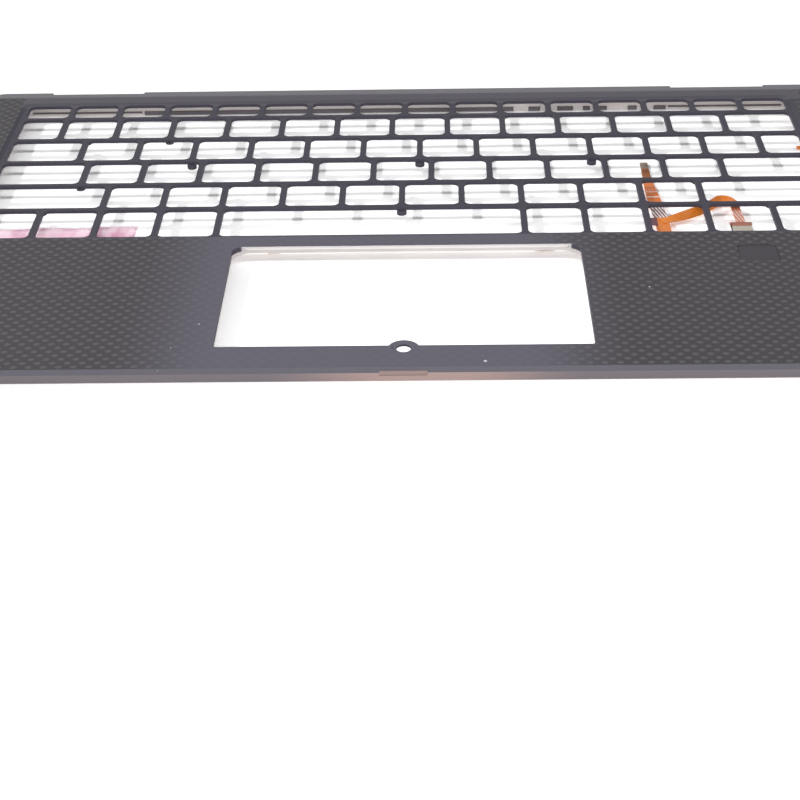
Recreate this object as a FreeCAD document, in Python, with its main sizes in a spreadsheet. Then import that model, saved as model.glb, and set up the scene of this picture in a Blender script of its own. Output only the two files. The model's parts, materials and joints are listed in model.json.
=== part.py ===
"""Laptop palm rest: a composite deck with its key web, bonded metal stiffeners and small fittings.

Millimetres. X runs along the deck's width, Y from the user towards the hinges, Z up.
The origin is the middle of the deck's outline, on the plane that the case posts stand on.
"""
import FreeCAD, Part
import math
import os
import Sketcher

VECTOR = FreeCAD.Vector

# Driving dimensions, each an alias on the sheet
DIMENSIONS = {
    # Deck outline and section
    "deck_width": 304.0,
    "deck_depth": 196.0,
    "deck_corner": 6.5,
    "post_stand": 1.4,
    "rim_height": 3.6,
    "rim_wall": 1.6,
    "plate_thickness": 1.5,
    "front_bevel_run": 1.3,
    "front_bevel_drop": 1.05,
    "side_bevel": 0.9,
    "rear_slope_run": 4.0,
    "rear_slope_drop": 0.4,
    "notch_left_edge": 22.6,
    "notch_right_edge": 25.1,
    "notch_length": 33.3,
    "notch_depth": 1.8,
    "notch_corner": 0.6,
    # Keyboard tray and key openings
    "keyboard_left_margin": 16.8,
    "keyboard_right_margin": 20.0,
    "keyboard_rear_margin": 12.17,
    "key_row_spare": 0.5,
    "key_pitch_y": 18.05,
    "rib_x": 1.95,
    "rib_y": 1.75,
    "key_corner": 2.0,
    "space_row_depth": 18.88,
    "function_row_depth": 10.4,
    "number_first": 15.07,
    "qwerty_first": 24.73,
    "home_first": 28.58,
    "shift_first": 38.22,
    "control_first": 19.26,
    "arrow_pair": 20.88,
    "tray_depth": 0.4,
    "tray_margin": 0.3,
    "tray_side_margin": 1.6,
    "tray_slope": 1.4,
    "tray_corner": 2.5,
    # Screw posts moulded under the key web
    "web_post_radius": 1.55,
    "web_post_drop": 1.7,
    "web_nub_radius": 1.45,
    "web_nub_drop": 0.6,
    "web_insert_radius": 0.95,
    "web_insert_bore": 0.5,
    "web_insert_length": 1.1,
    # Touchpad opening
    "touchpad_width": 105.2,
    "touchpad_inset": 12.7,
    "touchpad_gap": 8.3,
    "touchpad_rear_corner": 3.5,
    "touchpad_front_corner": 1.0,
    "ledge_width": 48.0,
    "ledge_step": 0.6,
    "lug_radius": 4.4,
    "lug_setback": 0.9,
    "lug_hole_radius": 2.05,
    "lug_thickness": 0.6,
    "spot_face_radius": 3.3,
    "relief_end": 3.4,
    "relief_depth": 2.4,
    "relief_edge": 0.5,
    # Metal stiffeners bonded under the deck
    "stiffener_clearance": 0.4,
    "window_margin": 0.8,
    "frame_thickness": 1.0,
    "frame_corner": 4.5,
    "window_corner": 7.0,
    "lip_width": 0.9,
    "lip_drop": 0.8,
    "cell_inset": 8.0,
    "cell_front_gap": 13.0,
    "cell_rear_gap": 8.8,
    "rail_thickness": 0.8,
    "rail_setback": 1.4,
    "rail_wall": 0.8,
    "rail_wall_stand": 0.4,
    "side_margin": 1.6,
    # Case, hinge and touchpad posts with their inserts
    "post_radius": 2.7,
    "post_edge_x": 13.0,
    "post_edge_front": 7.5,
    "post_edge_rear": 6.0,
    "front_post_x": 72.0,
    "rear_post_x": 47.0,
    "side_post_edge": 8.6,
    "side_post_y": 34.0,
    "insert_radius": 1.7,
    "insert_bore": 0.8,
    "insert_length": 2.2,
    "insert_clearance": 0.02,
    "hinge_post_radius": 3.2,
    "hinge_post_drop": 1.5,
    "hinge_spacing": 20.0,
    "hinge_insert_radius": 2.0,
    "hinge_insert_bore": 1.05,
    "hinge_insert_length": 1.6,
    "pad_post_x": 42.0,
    "pad_post_setback": 5.4,
    "pad_post_radius": 2.0,
    "pad_post_drop": 1.4,
    "pad_insert_radius": 1.3,
    "pad_insert_bore": 0.75,
    "pad_insert_length": 1.1,
    # Fingerprint reader and what holds it
    "reader_edge": 26.9,
    "reader_width": 11.8,
    "reader_depth": 10.5,
    "reader_gap": 10.0,
    "reader_corner": 2.0,
    "reader_clearance": 0.15,
    "reader_sink": 0.15,
    "flange_border": 1.8,
    "flange_room": 0.5,
    "board_thickness": 0.4,
    "board_tongue_width": 6.4,
    "board_reach": 8.8,
    "bracket_thickness": 0.4,
    "bracket_ear": 5.4,
    "bracket_depth": 9.0,
    "bracket_room": 0.6,
    "bracket_screw_radius": 0.7,
    "bracket_head_radius": 1.4,
    "bracket_head_height": 0.4,
    "bracket_screw_length": 0.8,
    "connector_shift": 1.65,
    "connector_width": 5.9,
    "connector_depth": 6.4,
    "connector_height": 0.75,
    "latch_depth": 1.0,
    "latch_overhang": 0.4,
    "latch_height": 0.6,
    # Flex ribbons and what lies on them
    "flex_thickness": 0.25,
    "main_flex_width": 4.3,
    "tail_width": 2.6,
    "tail_length": 24.0,
    "branch_flex_width": 2.8,
    "anchor_margin": 1.1,
    "anchor_depth": 10.0,
    "anchor_thickness": 0.5,
    "contacts_length": 4.6,
    "contacts_thickness": 0.4,
    "tape_width": 2.4,
    "tape_depth": 5.0,
    "tape_thickness": 0.15,
    "button_flex_length": 3.2,
    "button_flex_width": 4.0,
    "button_flex_y": 47.5,
    "button_flex_overlap": 6.0,
    # Foam, film and light guide
    "gasket_thickness": 0.55,
    "gasket_height": 1.35,
    "gasket_left": -95.0,
    "gasket_right": 37.0,
    "gasket_tape_height": 0.45,
    "gasket_tape_lift": 0.8,
    "film_thickness": 0.2,
    "film_inset": 2.2,
    "film_width": 48.4,
    "film_tuck": 22.0,
    "film_reach": 12.6,
    "guide_width": 13.0,
    "guide_height": 1.2,
    "guide_drop": 0.7,
    "guide_clearance": 0.05,
    "guide_sink": 0.1,
}

# Foam blocks at the right of the rear rail: left end and length of each
GASKET_BLOCKS = [(42.3, 4.2), (52.5, 5.7), (61.7, 2.5), (67.4, 2.8), (77.6, 3.2), (86.8, 4.3)]

# Routes of the two free ribbons, chosen by hand from the sensor to the tail's tip.
# Each point is measured from the reader's centre line, the keyboard's front edge and the floor,
# for a board with this reach behind that edge.
ROUTE_REACH = 8.8
MAIN_FLEX_ROUTE = [
    (-25.50, -6.60, 2.25),
    (-25.50, 4.40, 2.25),
    (-25.80, 14.90, 2.25),
    (-26.30, 29.40, 1.55),
    (-26.60, 40.90, 0.80),
    (-26.50, 48.90, 0.45),
    (-26.50, 54.20, 0.45),
]
BRANCH_FLEX_ROUTE = [
    (-1.05, 8.80, 2.80),
    (-1.05, 12.80, 2.80),
    (-1.25, 17.40, 2.88),
    (-1.15, 21.40, 2.94),
    (-1.40, 24.46, 2.96),
    (-3.04, 26.10, 2.98),
    (-5.36, 26.10, 2.96),
    (-7.70, 23.80, 2.90),
    (-11.50, 20.10, 2.78),
    (-16.30, 16.70, 2.62),
    (-21.30, 13.40, 2.50),
    (-25.70, 11.00, 2.50),
]


class Size:
    """A length in millimetres, with the sheet expression that drives it."""

    def __init__(self, value, text):
        self.value = value
        self.text = text

    def _joined(self, other, sign, result):
        text = other.text if isinstance(other, Size) else repr(other)
        return Size(result, "(" + self.text + " " + sign + " " + text + ")")

    def __add__(self, other):
        return self._joined(other, "+", self.value + number(other))

    def __sub__(self, other):
        return self._joined(other, "-", self.value - number(other))

    def __mul__(self, other):
        return self._joined(other, "*", self.value * number(other))

    def __truediv__(self, other):
        return self._joined(other, "/", self.value / number(other))

    def __neg__(self):
        return Size(-self.value, "(0 - " + self.text + ")")


def number(size):
    """The plain value of a size or a number."""
    return size.value if isinstance(size, Size) else float(size)


def fixed(value):
    """A size that no cell drives, such as a point of a hand-laid route."""
    return Size(float(value), "(" + repr(float(value)) + ")")


document = FreeCAD.newDocument("PalmRest")
sheet = document.addObject("Spreadsheet::Sheet", "Sizes")
for row, (alias, millimetres) in enumerate(DIMENSIONS.items(), start=1):
    sheet.set("A" + str(row), alias)
    sheet.set("B" + str(row), str(millimetres))
    sheet.setAlias("B" + str(row), alias)
document.recompute()


class Sizes:
    """Every aliased cell of the sheet as a Size."""


for alias in DIMENSIONS:
    setattr(Sizes, alias, Size(float(sheet.get(alias)), "Sizes." + alias))

S = Sizes

# Levels
DECK_UNDER_RIM = S.post_stand
DECK_TOP = S.post_stand + S.rim_height
DECK_UNDER = DECK_TOP - S.plate_thickness
FRAME_UNDER = DECK_UNDER - S.frame_thickness
RAIL_UNDER = DECK_UNDER - S.rail_thickness

# Outline
HALF_WIDTH = S.deck_width / 2
DECK_FRONT = -(S.deck_depth / 2)
DECK_REAR = S.deck_depth / 2
INNER_HALF_WIDTH = HALF_WIDTH - S.rim_wall - S.stiffener_clearance
INNER_FRONT = DECK_FRONT + S.rim_wall + S.stiffener_clearance
INNER_REAR = DECK_REAR - S.rim_wall - S.stiffener_clearance

# Keyboard, from the rear edge forwards
KEYS_ACROSS = 14
FUNCTION_KEYS = 16
KEYS_LEFT = S.keyboard_left_margin - HALF_WIDTH
KEYS_RIGHT = HALF_WIDTH - S.keyboard_right_margin
KEY_PITCH = (KEYS_RIGHT - KEYS_LEFT - S.key_row_spare) / KEYS_ACROSS
FUNCTION_REAR = DECK_REAR - S.keyboard_rear_margin
FUNCTION_FRONT = FUNCTION_REAR - S.function_row_depth
NUMBER_FRONT = FUNCTION_FRONT - S.key_pitch_y
QWERTY_FRONT = NUMBER_FRONT - S.key_pitch_y
HOME_FRONT = QWERTY_FRONT - S.key_pitch_y
SHIFT_FRONT = HOME_FRONT - S.key_pitch_y
SPACE_FRONT = SHIFT_FRONT - S.rib_y - S.space_row_depth

# Touchpad and fingerprint reader
PAD_HALF = S.touchpad_width / 2
PAD_FRONT = DECK_FRONT + S.touchpad_inset
PAD_REAR = SPACE_FRONT - S.touchpad_gap
LUG_Y = PAD_FRONT - S.lug_setback
READER_REAR = SPACE_FRONT - S.reader_gap
READER_FRONT = READER_REAR - S.reader_depth
READER_X = KEYS_RIGHT - S.reader_edge
READER_LEFT = READER_X - S.reader_width / 2
READER_RIGHT = READER_X + S.reader_width / 2
READER_Y = (READER_REAR + READER_FRONT) / 2
CONNECTOR_X = READER_X - S.connector_shift

# Stiffeners
FRAME_REAR = SPACE_FRONT - S.window_margin
RAIL_FRONT = FUNCTION_REAR + S.rail_setback
FRONT_POST_Y = DECK_FRONT + S.post_edge_front
REAR_POST_Y = DECK_REAR - S.post_edge_rear
CORNER_POST_X = HALF_WIDTH - S.post_edge_x
SIDE_POST_X = HALF_WIDTH - S.side_post_edge
LEFT_NOTCH = S.notch_left_edge - HALF_WIDTH
RIGHT_NOTCH = HALF_WIDTH - S.notch_right_edge - S.notch_length
PAD_POST_Y = PAD_REAR + S.pad_post_setback

# Rib centre lines across each row, counted from the first key
NUMBER_RIBS = KEYS_LEFT + S.number_first
QWERTY_RIBS = KEYS_LEFT + S.qwerty_first
HOME_RIBS = KEYS_LEFT + S.home_first
SHIFT_RIBS = KEYS_LEFT + S.shift_first
SPACE_RIBS = KEYS_LEFT + S.control_first
SPACE_BAR_KEYS = 5
MODIFIERS = 3
OVERCUT = fixed(1.0)


def sketch_on(body, name, role="XY_Plane", height=None):
    """A sketch on one of the body's own origin planes, lifted to a height."""
    plane = next(feature for feature in body.Origin.OriginFeatures if feature.Role == role)
    sketch = body.newObject("Sketcher::SketchObject", name)
    sketch.AttachmentSupport = [(plane, "")]
    sketch.MapMode = "FlatFace"
    if height is not None:
        sketch.setExpression("AttachmentOffset.Base.z", height.text)
    return sketch


def constrain(sketch, name, expression, *constraint):
    """Add one dimension to a sketch and bind it to the sheet."""
    index = sketch.addConstraint(Sketcher.Constraint(*constraint, expression.value))
    sketch.renameConstraint(index, name)
    sketch.setExpression("Constraints." + name, expression.text)


def place(sketch, name, x, y, geometry, position):
    """Hold one point of a sketch at x and y from its origin."""
    constrain(sketch, name + "_x", x, "DistanceX", -1, 1, geometry, position)
    constrain(sketch, name + "_y", y, "DistanceY", -1, 1, geometry, position)


def rounded_rectangle(sketch, tag, left, right, front, rear, front_radius, rear_radius=None):
    """A rectangle with tangent corner arcs, one radius in front and one behind."""
    rear_radius = rear_radius or front_radius
    x0, x1, y0, y1 = (size.value for size in (left, right, front, rear))
    rf, rr = front_radius.value, rear_radius.value
    quarter = math.pi / 2
    corners = [
        (x1 - rf, y0 + rf, rf, -quarter),
        (x1 - rr, y1 - rr, rr, 0.0),
        (x0 + rr, y1 - rr, rr, quarter),
        (x0 + rf, y0 + rf, rf, 2 * quarter),
    ]
    sides = [
        ((x0 + rf, y0), (x1 - rf, y0)),
        ((x1, y0 + rf), (x1, y1 - rr)),
        ((x1 - rr, y1), (x0 + rr, y1)),
        ((x0, y1 - rr), (x0, y0 + rf)),
    ]
    first = sketch.GeometryCount
    for (start, end), (cx, cy, radius, angle) in zip(sides, corners):
        sketch.addGeometry(Part.LineSegment(VECTOR(*start, 0), VECTOR(*end, 0)), False)
        circle = Part.Circle(VECTOR(cx, cy, 0), VECTOR(0, 0, 1), radius)
        sketch.addGeometry(Part.ArcOfCircle(circle, angle, angle + quarter), False)
    for side in range(4):
        line = first + 2 * side
        arc = line + 1
        following = first + (2 * side + 2) % 8
        sketch.addConstraint(Sketcher.Constraint("Tangent", line, 2, arc, 1))
        sketch.addConstraint(Sketcher.Constraint("Tangent", arc, 2, following, 1))
        sketch.addConstraint(Sketcher.Constraint("Vertical" if side % 2 else "Horizontal", line))
    sketch.addConstraint(Sketcher.Constraint("Equal", first + 1, first + 7))
    sketch.addConstraint(Sketcher.Constraint("Equal", first + 3, first + 5))
    constrain(sketch, tag + "_front_radius", front_radius, "Radius", first + 1)
    constrain(sketch, tag + "_rear_radius", rear_radius, "Radius", first + 3)
    constrain(sketch, tag + "_left", left, "DistanceX", -1, 1, first + 6, 1)
    constrain(sketch, tag + "_right", right, "DistanceX", -1, 1, first + 2, 1)
    constrain(sketch, tag + "_front", front, "DistanceY", -1, 1, first, 1)
    constrain(sketch, tag + "_rear", rear, "DistanceY", -1, 1, first + 4, 1)


def circle(sketch, tag, x, y, radius):
    """A circle with its centre at x and y."""
    shape = Part.Circle(VECTOR(number(x), number(y), 0), VECTOR(0, 0, 1), radius.value)
    index = sketch.addGeometry(shape, False)
    constrain(sketch, tag + "_radius", radius, "Radius", index)
    place(sketch, tag, x, y, index, 3)


def polygon(sketch, tag, points):
    """A closed outline of straight lines through points given as sizes."""
    first = sketch.GeometryCount
    count = len(points)
    for index in range(count):
        start = points[index]
        end = points[(index + 1) % count]
        ends = [VECTOR(point[0].value, point[1].value, 0) for point in (start, end)]
        sketch.addGeometry(Part.LineSegment(*ends), False)
    for index, point in enumerate(points):
        following = (index + 1) % count
        sketch.addConstraint(Sketcher.Constraint("Coincident", first + index, 2, first + following, 1))
        place(sketch, tag + str(index), point[0], point[1], first + index, 1)


def rectangle(sketch, tag, left, right, front, rear):
    """A rectangle with square corners."""
    polygon(sketch, tag, [(left, front), (right, front), (right, rear), (left, rear)])


def new_body(label):
    """An empty body that keeps separate solids together."""
    body = document.addObject("PartDesign::Body", label)
    body.Label = label
    body.AllowCompound = True
    return body


def pad(body, sketch, name, length, downward=False):
    """Add material from a sketch, upwards unless told otherwise."""
    feature = body.newObject("PartDesign::Pad", name)
    feature.Profile = sketch
    feature.setExpression("Length", length.text)
    feature.Reversed = downward
    return feature


def pocket(body, sketch, name, length=None, upward=False, both_ways=False):
    """Remove material from a sketch, downwards unless told otherwise, or right through."""
    feature = body.newObject("PartDesign::Pocket", name)
    feature.Profile = sketch
    feature.Reversed = upward
    feature.Midplane = both_ways
    if length is None:
        feature.Type = "ThroughAll"
    else:
        feature.setExpression("Length", length.text)
    return feature


def box(label, left, right, front, rear, bottom, top):
    """A plain block between six planes."""
    block = document.addObject("Part::Box", label)
    block.Label = label
    block.setExpression("Length", (right - left).text)
    block.setExpression("Width", (rear - front).text)
    block.setExpression("Height", (top - bottom).text)
    block.setExpression("Placement.Base.x", left.text)
    block.setExpression("Placement.Base.y", front.text)
    block.setExpression("Placement.Base.z", bottom.text)
    return block


def key_opening(body, name, left, right, front, rear, repeats=1):
    """The space of one key's opening through the web, repeated along its row."""
    sketch = sketch_on(body, name + "_outline", height=DECK_UNDER)
    rounded_rectangle(sketch, "key", left, right, front, rear, S.key_corner)
    space = pad(body, sketch, name, S.plate_thickness)
    if repeats == 1:
        return
    pattern = body.newObject("PartDesign::LinearPattern", name + "_row")
    pattern.Originals = [space]
    pattern.Direction = (sketch, ["H_Axis"])
    step = right - left + S.rib_x
    pattern.setExpression("Length", (step * (repeats - 1)).text)
    pattern.Occurrences = repeats
    body.Tip = pattern


def key_row(name, front, ribs, units):
    """A row with a wide first key, unit keys and a last key that fills the row."""
    body = new_body(name + "_openings")
    rear = front + S.key_pitch_y - S.rib_y
    half_rib = S.rib_x / 2
    last_rib = ribs + KEY_PITCH * units
    key_opening(body, name + "_unit", ribs + half_rib, ribs + KEY_PITCH - half_rib, front, rear, units)
    key_opening(body, name + "_first", KEYS_LEFT, ribs - half_rib, front, rear)
    key_opening(body, name + "_last", last_rib + half_rib, KEYS_RIGHT, front, rear)
    return body


def space_row():
    """The bottom row: modifiers, the space bar, and the arrow keys with their shared opening."""
    body = new_body("space_openings")
    rear = SPACE_FRONT + S.space_row_depth
    half_rib = S.rib_x / 2
    bar = SPACE_RIBS + KEY_PITCH * MODIFIERS
    right_side = bar + KEY_PITCH * SPACE_BAR_KEYS
    arrows = right_side + KEY_PITCH * MODIFIERS
    last = arrows + S.arrow_pair
    unit_end = KEY_PITCH - half_rib
    row = (SPACE_FRONT, rear)
    key_opening(body, "left_modifier", SPACE_RIBS + half_rib, SPACE_RIBS + unit_end, *row, MODIFIERS)
    key_opening(body, "right_modifier", right_side + half_rib, right_side + unit_end, *row, MODIFIERS)
    key_opening(body, "control_key", KEYS_LEFT, SPACE_RIBS - half_rib, *row)
    key_opening(body, "space_bar", bar + half_rib, right_side - half_rib, *row)
    key_opening(body, "arrow_pair_key", arrows + half_rib, last - half_rib, *row)
    key_opening(body, "right_arrow", last + half_rib, KEYS_RIGHT, *row)
    return body


def function_row():
    """The shallow top row of equal openings."""
    body = new_body("function_openings")
    step = (KEYS_RIGHT - KEYS_LEFT + S.rib_x) / FUNCTION_KEYS
    right = KEYS_LEFT + step - S.rib_x
    key_opening(body, "function_key", KEYS_LEFT, right, FUNCTION_FRONT, FUNCTION_REAR, FUNCTION_KEYS)
    return body


def web_junctions():
    """Where posts stand under the web: the deep screw posts, then the short nubs."""
    pitch = KEY_PITCH
    half_rib = S.rib_y / 2
    under_number = NUMBER_FRONT - half_rib
    under_qwerty = QWERTY_FRONT - half_rib
    under_home = HOME_FRONT - half_rib
    under_shift = SHIFT_FRONT - half_rib
    arrows_end = SPACE_RIBS + pitch * (2 * MODIFIERS + SPACE_BAR_KEYS) + S.arrow_pair
    deep = [(QWERTY_RIBS + pitch * rib, under_qwerty) for rib in (2, 6, 9)]
    deep.append((SHIFT_RIBS + pitch * 5, under_shift))
    short = [(QWERTY_RIBS + pitch * rib, under_number) for rib in (0, 3, 8, 10)]
    short.append((NUMBER_RIBS + pitch * 2, under_number))
    short.append((HOME_RIBS, under_home))
    short.extend((SHIFT_RIBS + pitch * rib, under_home) for rib in (2, 5, 7, 10))
    short.append((SPACE_RIBS, under_shift))
    short.append((arrows_end, under_shift))
    return deep, short


def circles(body, name, centres, radius, height, bore=None):
    """A sketch of equal circles, with a bore inside each where one is given."""
    sketch = sketch_on(body, name, height=height)
    for index, (x, y) in enumerate(centres):
        circle(sketch, "outer" + str(index), x, y, radius)
        if bore is not None:
            circle(sketch, "bore" + str(index), x, y, bore)
    return sketch


def bevel_edges(body):
    """Bevel the front edge and the two sides, and slope the rear edge gently down."""
    profile = sketch_on(body, "front_and_rear_profile", "YZ_Plane")
    front = [
        (DECK_FRONT, DECK_TOP - S.front_bevel_drop),
        (DECK_FRONT + S.front_bevel_run, DECK_TOP),
        (DECK_FRONT - OVERCUT, DECK_TOP + OVERCUT),
    ]
    rear = [
        (DECK_REAR, DECK_TOP - S.rear_slope_drop),
        (DECK_REAR - S.rear_slope_run, DECK_TOP),
        (DECK_REAR + OVERCUT, DECK_TOP + OVERCUT),
    ]
    polygon(profile, "front", front)
    polygon(profile, "rear", rear)
    pocket(body, profile, "front_and_rear_bevel", both_ways=True)
    sides = sketch_on(body, "side_profile", "XZ_Plane")
    for tag, edge, inward in (("right", HALF_WIDTH, -1), ("left", -HALF_WIDTH, 1)):
        corner = [
            (edge, DECK_TOP - S.side_bevel),
            (edge + S.side_bevel * inward, DECK_TOP),
            (edge - OVERCUT * inward, DECK_TOP + OVERCUT),
        ]
        polygon(sides, tag, corner)
    pocket(body, sides, "side_bevels", both_ways=True)


def keyboard_tray(body):
    """The shallow tray round the keys, with sloping sides."""
    rear_edge = FUNCTION_REAR + S.tray_margin
    sections = []
    levels = (
        ("tray_floor", DECK_TOP - S.tray_depth, fixed(0)),
        ("tray_mouth", DECK_TOP, S.tray_slope),
    )
    for name, height, slope in levels:
        sketch = sketch_on(body, name, height=height)
        rounded_rectangle(
            sketch,
            "tray",
            KEYS_LEFT - S.tray_side_margin - slope,
            KEYS_RIGHT + S.tray_side_margin + slope,
            SPACE_FRONT - S.tray_margin - slope,
            rear_edge + slope,
            S.tray_corner + slope,
        )
        sections.append(sketch)
    tray = body.newObject("PartDesign::SubtractiveLoft", "keyboard_tray")
    tray.Profile = sections[0]
    tray.Sections = [sections[1]]
    tray.Ruled = True


def touchpad_opening(body):
    """The touchpad's opening: a thinned rear edge, a stepped front ledge and a thin drilled lug."""
    opening = sketch_on(body, "touchpad_outline", height=DECK_TOP)
    corners = (S.touchpad_front_corner, S.touchpad_rear_corner)
    rounded_rectangle(opening, "touchpad", -PAD_HALF, PAD_HALF, PAD_FRONT, PAD_REAR, *corners)
    pocket(body, opening, "touchpad_opening", S.plate_thickness + OVERCUT)
    ledge = sketch_on(body, "ledge_outline", height=DECK_UNDER)
    half_ledge = S.ledge_width / 2
    rectangle(ledge, "ledge", -half_ledge, half_ledge, PAD_FRONT - OVERCUT, PAD_FRONT + S.ledge_step)
    pad(body, ledge, "front_ledge", S.plate_thickness - S.tray_depth)
    relief = sketch_on(body, "relief_outline", height=DECK_UNDER)
    half_relief = PAD_HALF - S.relief_end
    rectangle(relief, "relief", -half_relief, half_relief, PAD_REAR - OVERCUT, PAD_REAR + S.relief_depth)
    pocket(body, relief, "rear_edge_relief", S.plate_thickness - S.relief_edge, upward=True)
    under_lug = S.plate_thickness - S.tray_depth - S.lug_thickness
    lug = sketch_on(body, "lug_outline", height=DECK_UNDER + under_lug)
    circle(lug, "lug", fixed(0), LUG_Y, S.lug_radius)
    pad(body, lug, "touchpad_lug", S.lug_thickness)
    recesses = (
        ("spot_face", DECK_TOP, S.tray_depth, False),
        ("lug_relief", DECK_UNDER, under_lug, True),
    )
    for name, level, depth, upward in recesses:
        recess = sketch_on(body, name + "_outline", height=level)
        circle(recess, name, fixed(0), LUG_Y, S.spot_face_radius)
        pocket(body, recess, name, depth, upward=upward)
    hole = sketch_on(body, "lug_hole_outline", height=DECK_TOP)
    circle(hole, "hole", fixed(0), LUG_Y, S.lug_hole_radius)
    pocket(body, hole, "lug_hole", S.plate_thickness + OVERCUT)


def hinge_notches(body):
    """Two notches in the rear edge, where the hinges pass."""
    sketch = sketch_on(body, "notch_outline", height=DECK_TOP)
    front = DECK_REAR - S.notch_depth
    rear = DECK_REAR + S.deck_corner
    for tag, start in (("left", LEFT_NOTCH), ("right", RIGHT_NOTCH)):
        rounded_rectangle(sketch, tag, start, start + S.notch_length, front, rear, S.notch_corner)
    pocket(body, sketch, "hinge_notch", S.rim_height + OVERCUT)


def web_posts(body):
    """Screw posts and nubs under the web, each with a seat for its insert."""
    deep, short = web_junctions()
    kinds = (
        ("web_post", deep, S.web_post_radius, S.web_post_drop),
        ("web_nub", short, S.web_nub_radius, S.web_nub_drop),
    )
    for name, centres, radius, drop in kinds:
        pad(body, circles(body, name + "_outline", centres, radius, DECK_UNDER), name, drop, downward=True)
        seat = circles(body, name + "_seat", centres, S.web_insert_radius, DECK_UNDER - drop)
        pocket(body, seat, name + "_hole", S.web_insert_length, upward=True)


def deck_blank():
    """The moulded composite deck before its key openings: rim, plate, tray, posts and cut-outs."""
    body = new_body("deck_blank")
    outline = sketch_on(body, "deck_outline", height=DECK_UNDER_RIM)
    rounded_rectangle(outline, "deck", -HALF_WIDTH, HALF_WIDTH, DECK_FRONT, DECK_REAR, S.deck_corner)
    pad(body, outline, "deck_block", S.rim_height)
    hollow = sketch_on(body, "hollow_outline", height=DECK_UNDER_RIM)
    wall = S.rim_wall
    inner = (wall - HALF_WIDTH, HALF_WIDTH - wall, DECK_FRONT + wall, DECK_REAR - wall)
    rounded_rectangle(hollow, "hollow", *inner, S.deck_corner - wall)
    pocket(body, hollow, "hollow_underside", S.rim_height - S.plate_thickness, upward=True)
    bevel_edges(body)
    hinge_notches(body)
    keyboard_tray(body)
    touchpad_opening(body)
    reader = sketch_on(body, "reader_outline", height=DECK_TOP)
    edges = (READER_LEFT, READER_RIGHT, READER_FRONT, READER_REAR)
    rounded_rectangle(reader, "reader", *edges, S.reader_corner)
    pocket(body, reader, "reader_opening", S.plate_thickness + OVERCUT)
    slot = sketch_on(body, "light_slot_outline", height=DECK_TOP - S.guide_drop)
    half_slot = S.guide_width / 2
    rectangle(slot, "slot", -half_slot, half_slot, DECK_FRONT - OVERCUT, DECK_FRONT + S.rim_wall)
    pocket(body, slot, "light_slot", S.guide_height)
    web_posts(body)
    return body


def deck_panel():
    """The deck in one piece: the blank with every key's opening cut, which leaves the web."""
    openings = document.addObject("Part::Compound", "key_openings")
    openings.Links = [
        key_row("number", NUMBER_FRONT, NUMBER_RIBS, 12),
        key_row("qwerty", QWERTY_FRONT, QWERTY_RIBS, 12),
        key_row("home", HOME_FRONT, HOME_RIBS, 11),
        key_row("shift", SHIFT_FRONT, SHIFT_RIBS, 10),
        space_row(),
        function_row(),
    ]
    panel = document.addObject("Part::Cut", "deck_panel")
    panel.Label = "deck_panel"
    panel.Base = deck_blank()
    panel.Tool = openings
    return panel


def drilled_posts(body, name, centres, radii, foot, length, depth):
    """Round posts from a foot level up to their carrier, each with a seat for an insert."""
    radius, seat = radii
    pad(body, circles(body, name + "_outline", centres, radius, foot), name, length)
    pocket(body, circles(body, name + "_seat", centres, seat, foot), name + "_hole", depth, upward=True)


def case_posts(body, name, centres, carrier_under):
    """Posts that the bottom cover screws to, from the floor level up to their carrier."""
    radii = (S.post_radius, S.insert_radius + S.insert_clearance)
    drilled_posts(body, name, centres, radii, fixed(0), carrier_under, S.insert_length)


def front_posts():
    """Centres of the case posts along the front."""
    columns = (-CORNER_POST_X, -S.front_post_x, S.front_post_x, CORNER_POST_X)
    return [(x, FRONT_POST_Y) for x in columns]


def rear_posts():
    """Centres of the case posts along the rear."""
    columns = (-CORNER_POST_X, -S.rear_post_x, S.rear_post_x, CORNER_POST_X)
    return [(x, REAR_POST_Y) for x in columns]


def side_posts():
    """Centres of the case posts beside the keyboard."""
    y = fixed(0) + S.side_post_y
    return [(-SIDE_POST_X, y), (SIDE_POST_X, y)]


def hinge_posts():
    """Centres of the hinge posts, two on each side."""
    half = S.hinge_spacing / 2
    middles = [start + S.notch_length / 2 for start in (LEFT_NOTCH, RIGHT_NOTCH)]
    return [(x, REAR_POST_Y) for middle in middles for x in (middle - half, middle + half)]


def touchpad_posts():
    """Centres of the two posts behind the touchpad."""
    return [(-S.pad_post_x, PAD_POST_Y), (S.pad_post_x, PAD_POST_Y)]


def flange():
    """Left, right, front and rear of the fingerprint reader's flange."""
    border = S.flange_border
    return READER_LEFT - border, READER_RIGHT + border, READER_FRONT - border, READER_REAR + border


def bracket_screw_centres():
    """Centres of the two screws through the bracket's ears."""
    left, right, _, _ = flange()
    reach = S.flange_room + S.bracket_room + S.bracket_ear / 2
    return [(left - reach, READER_Y), (right + reach, READER_Y)]


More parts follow.
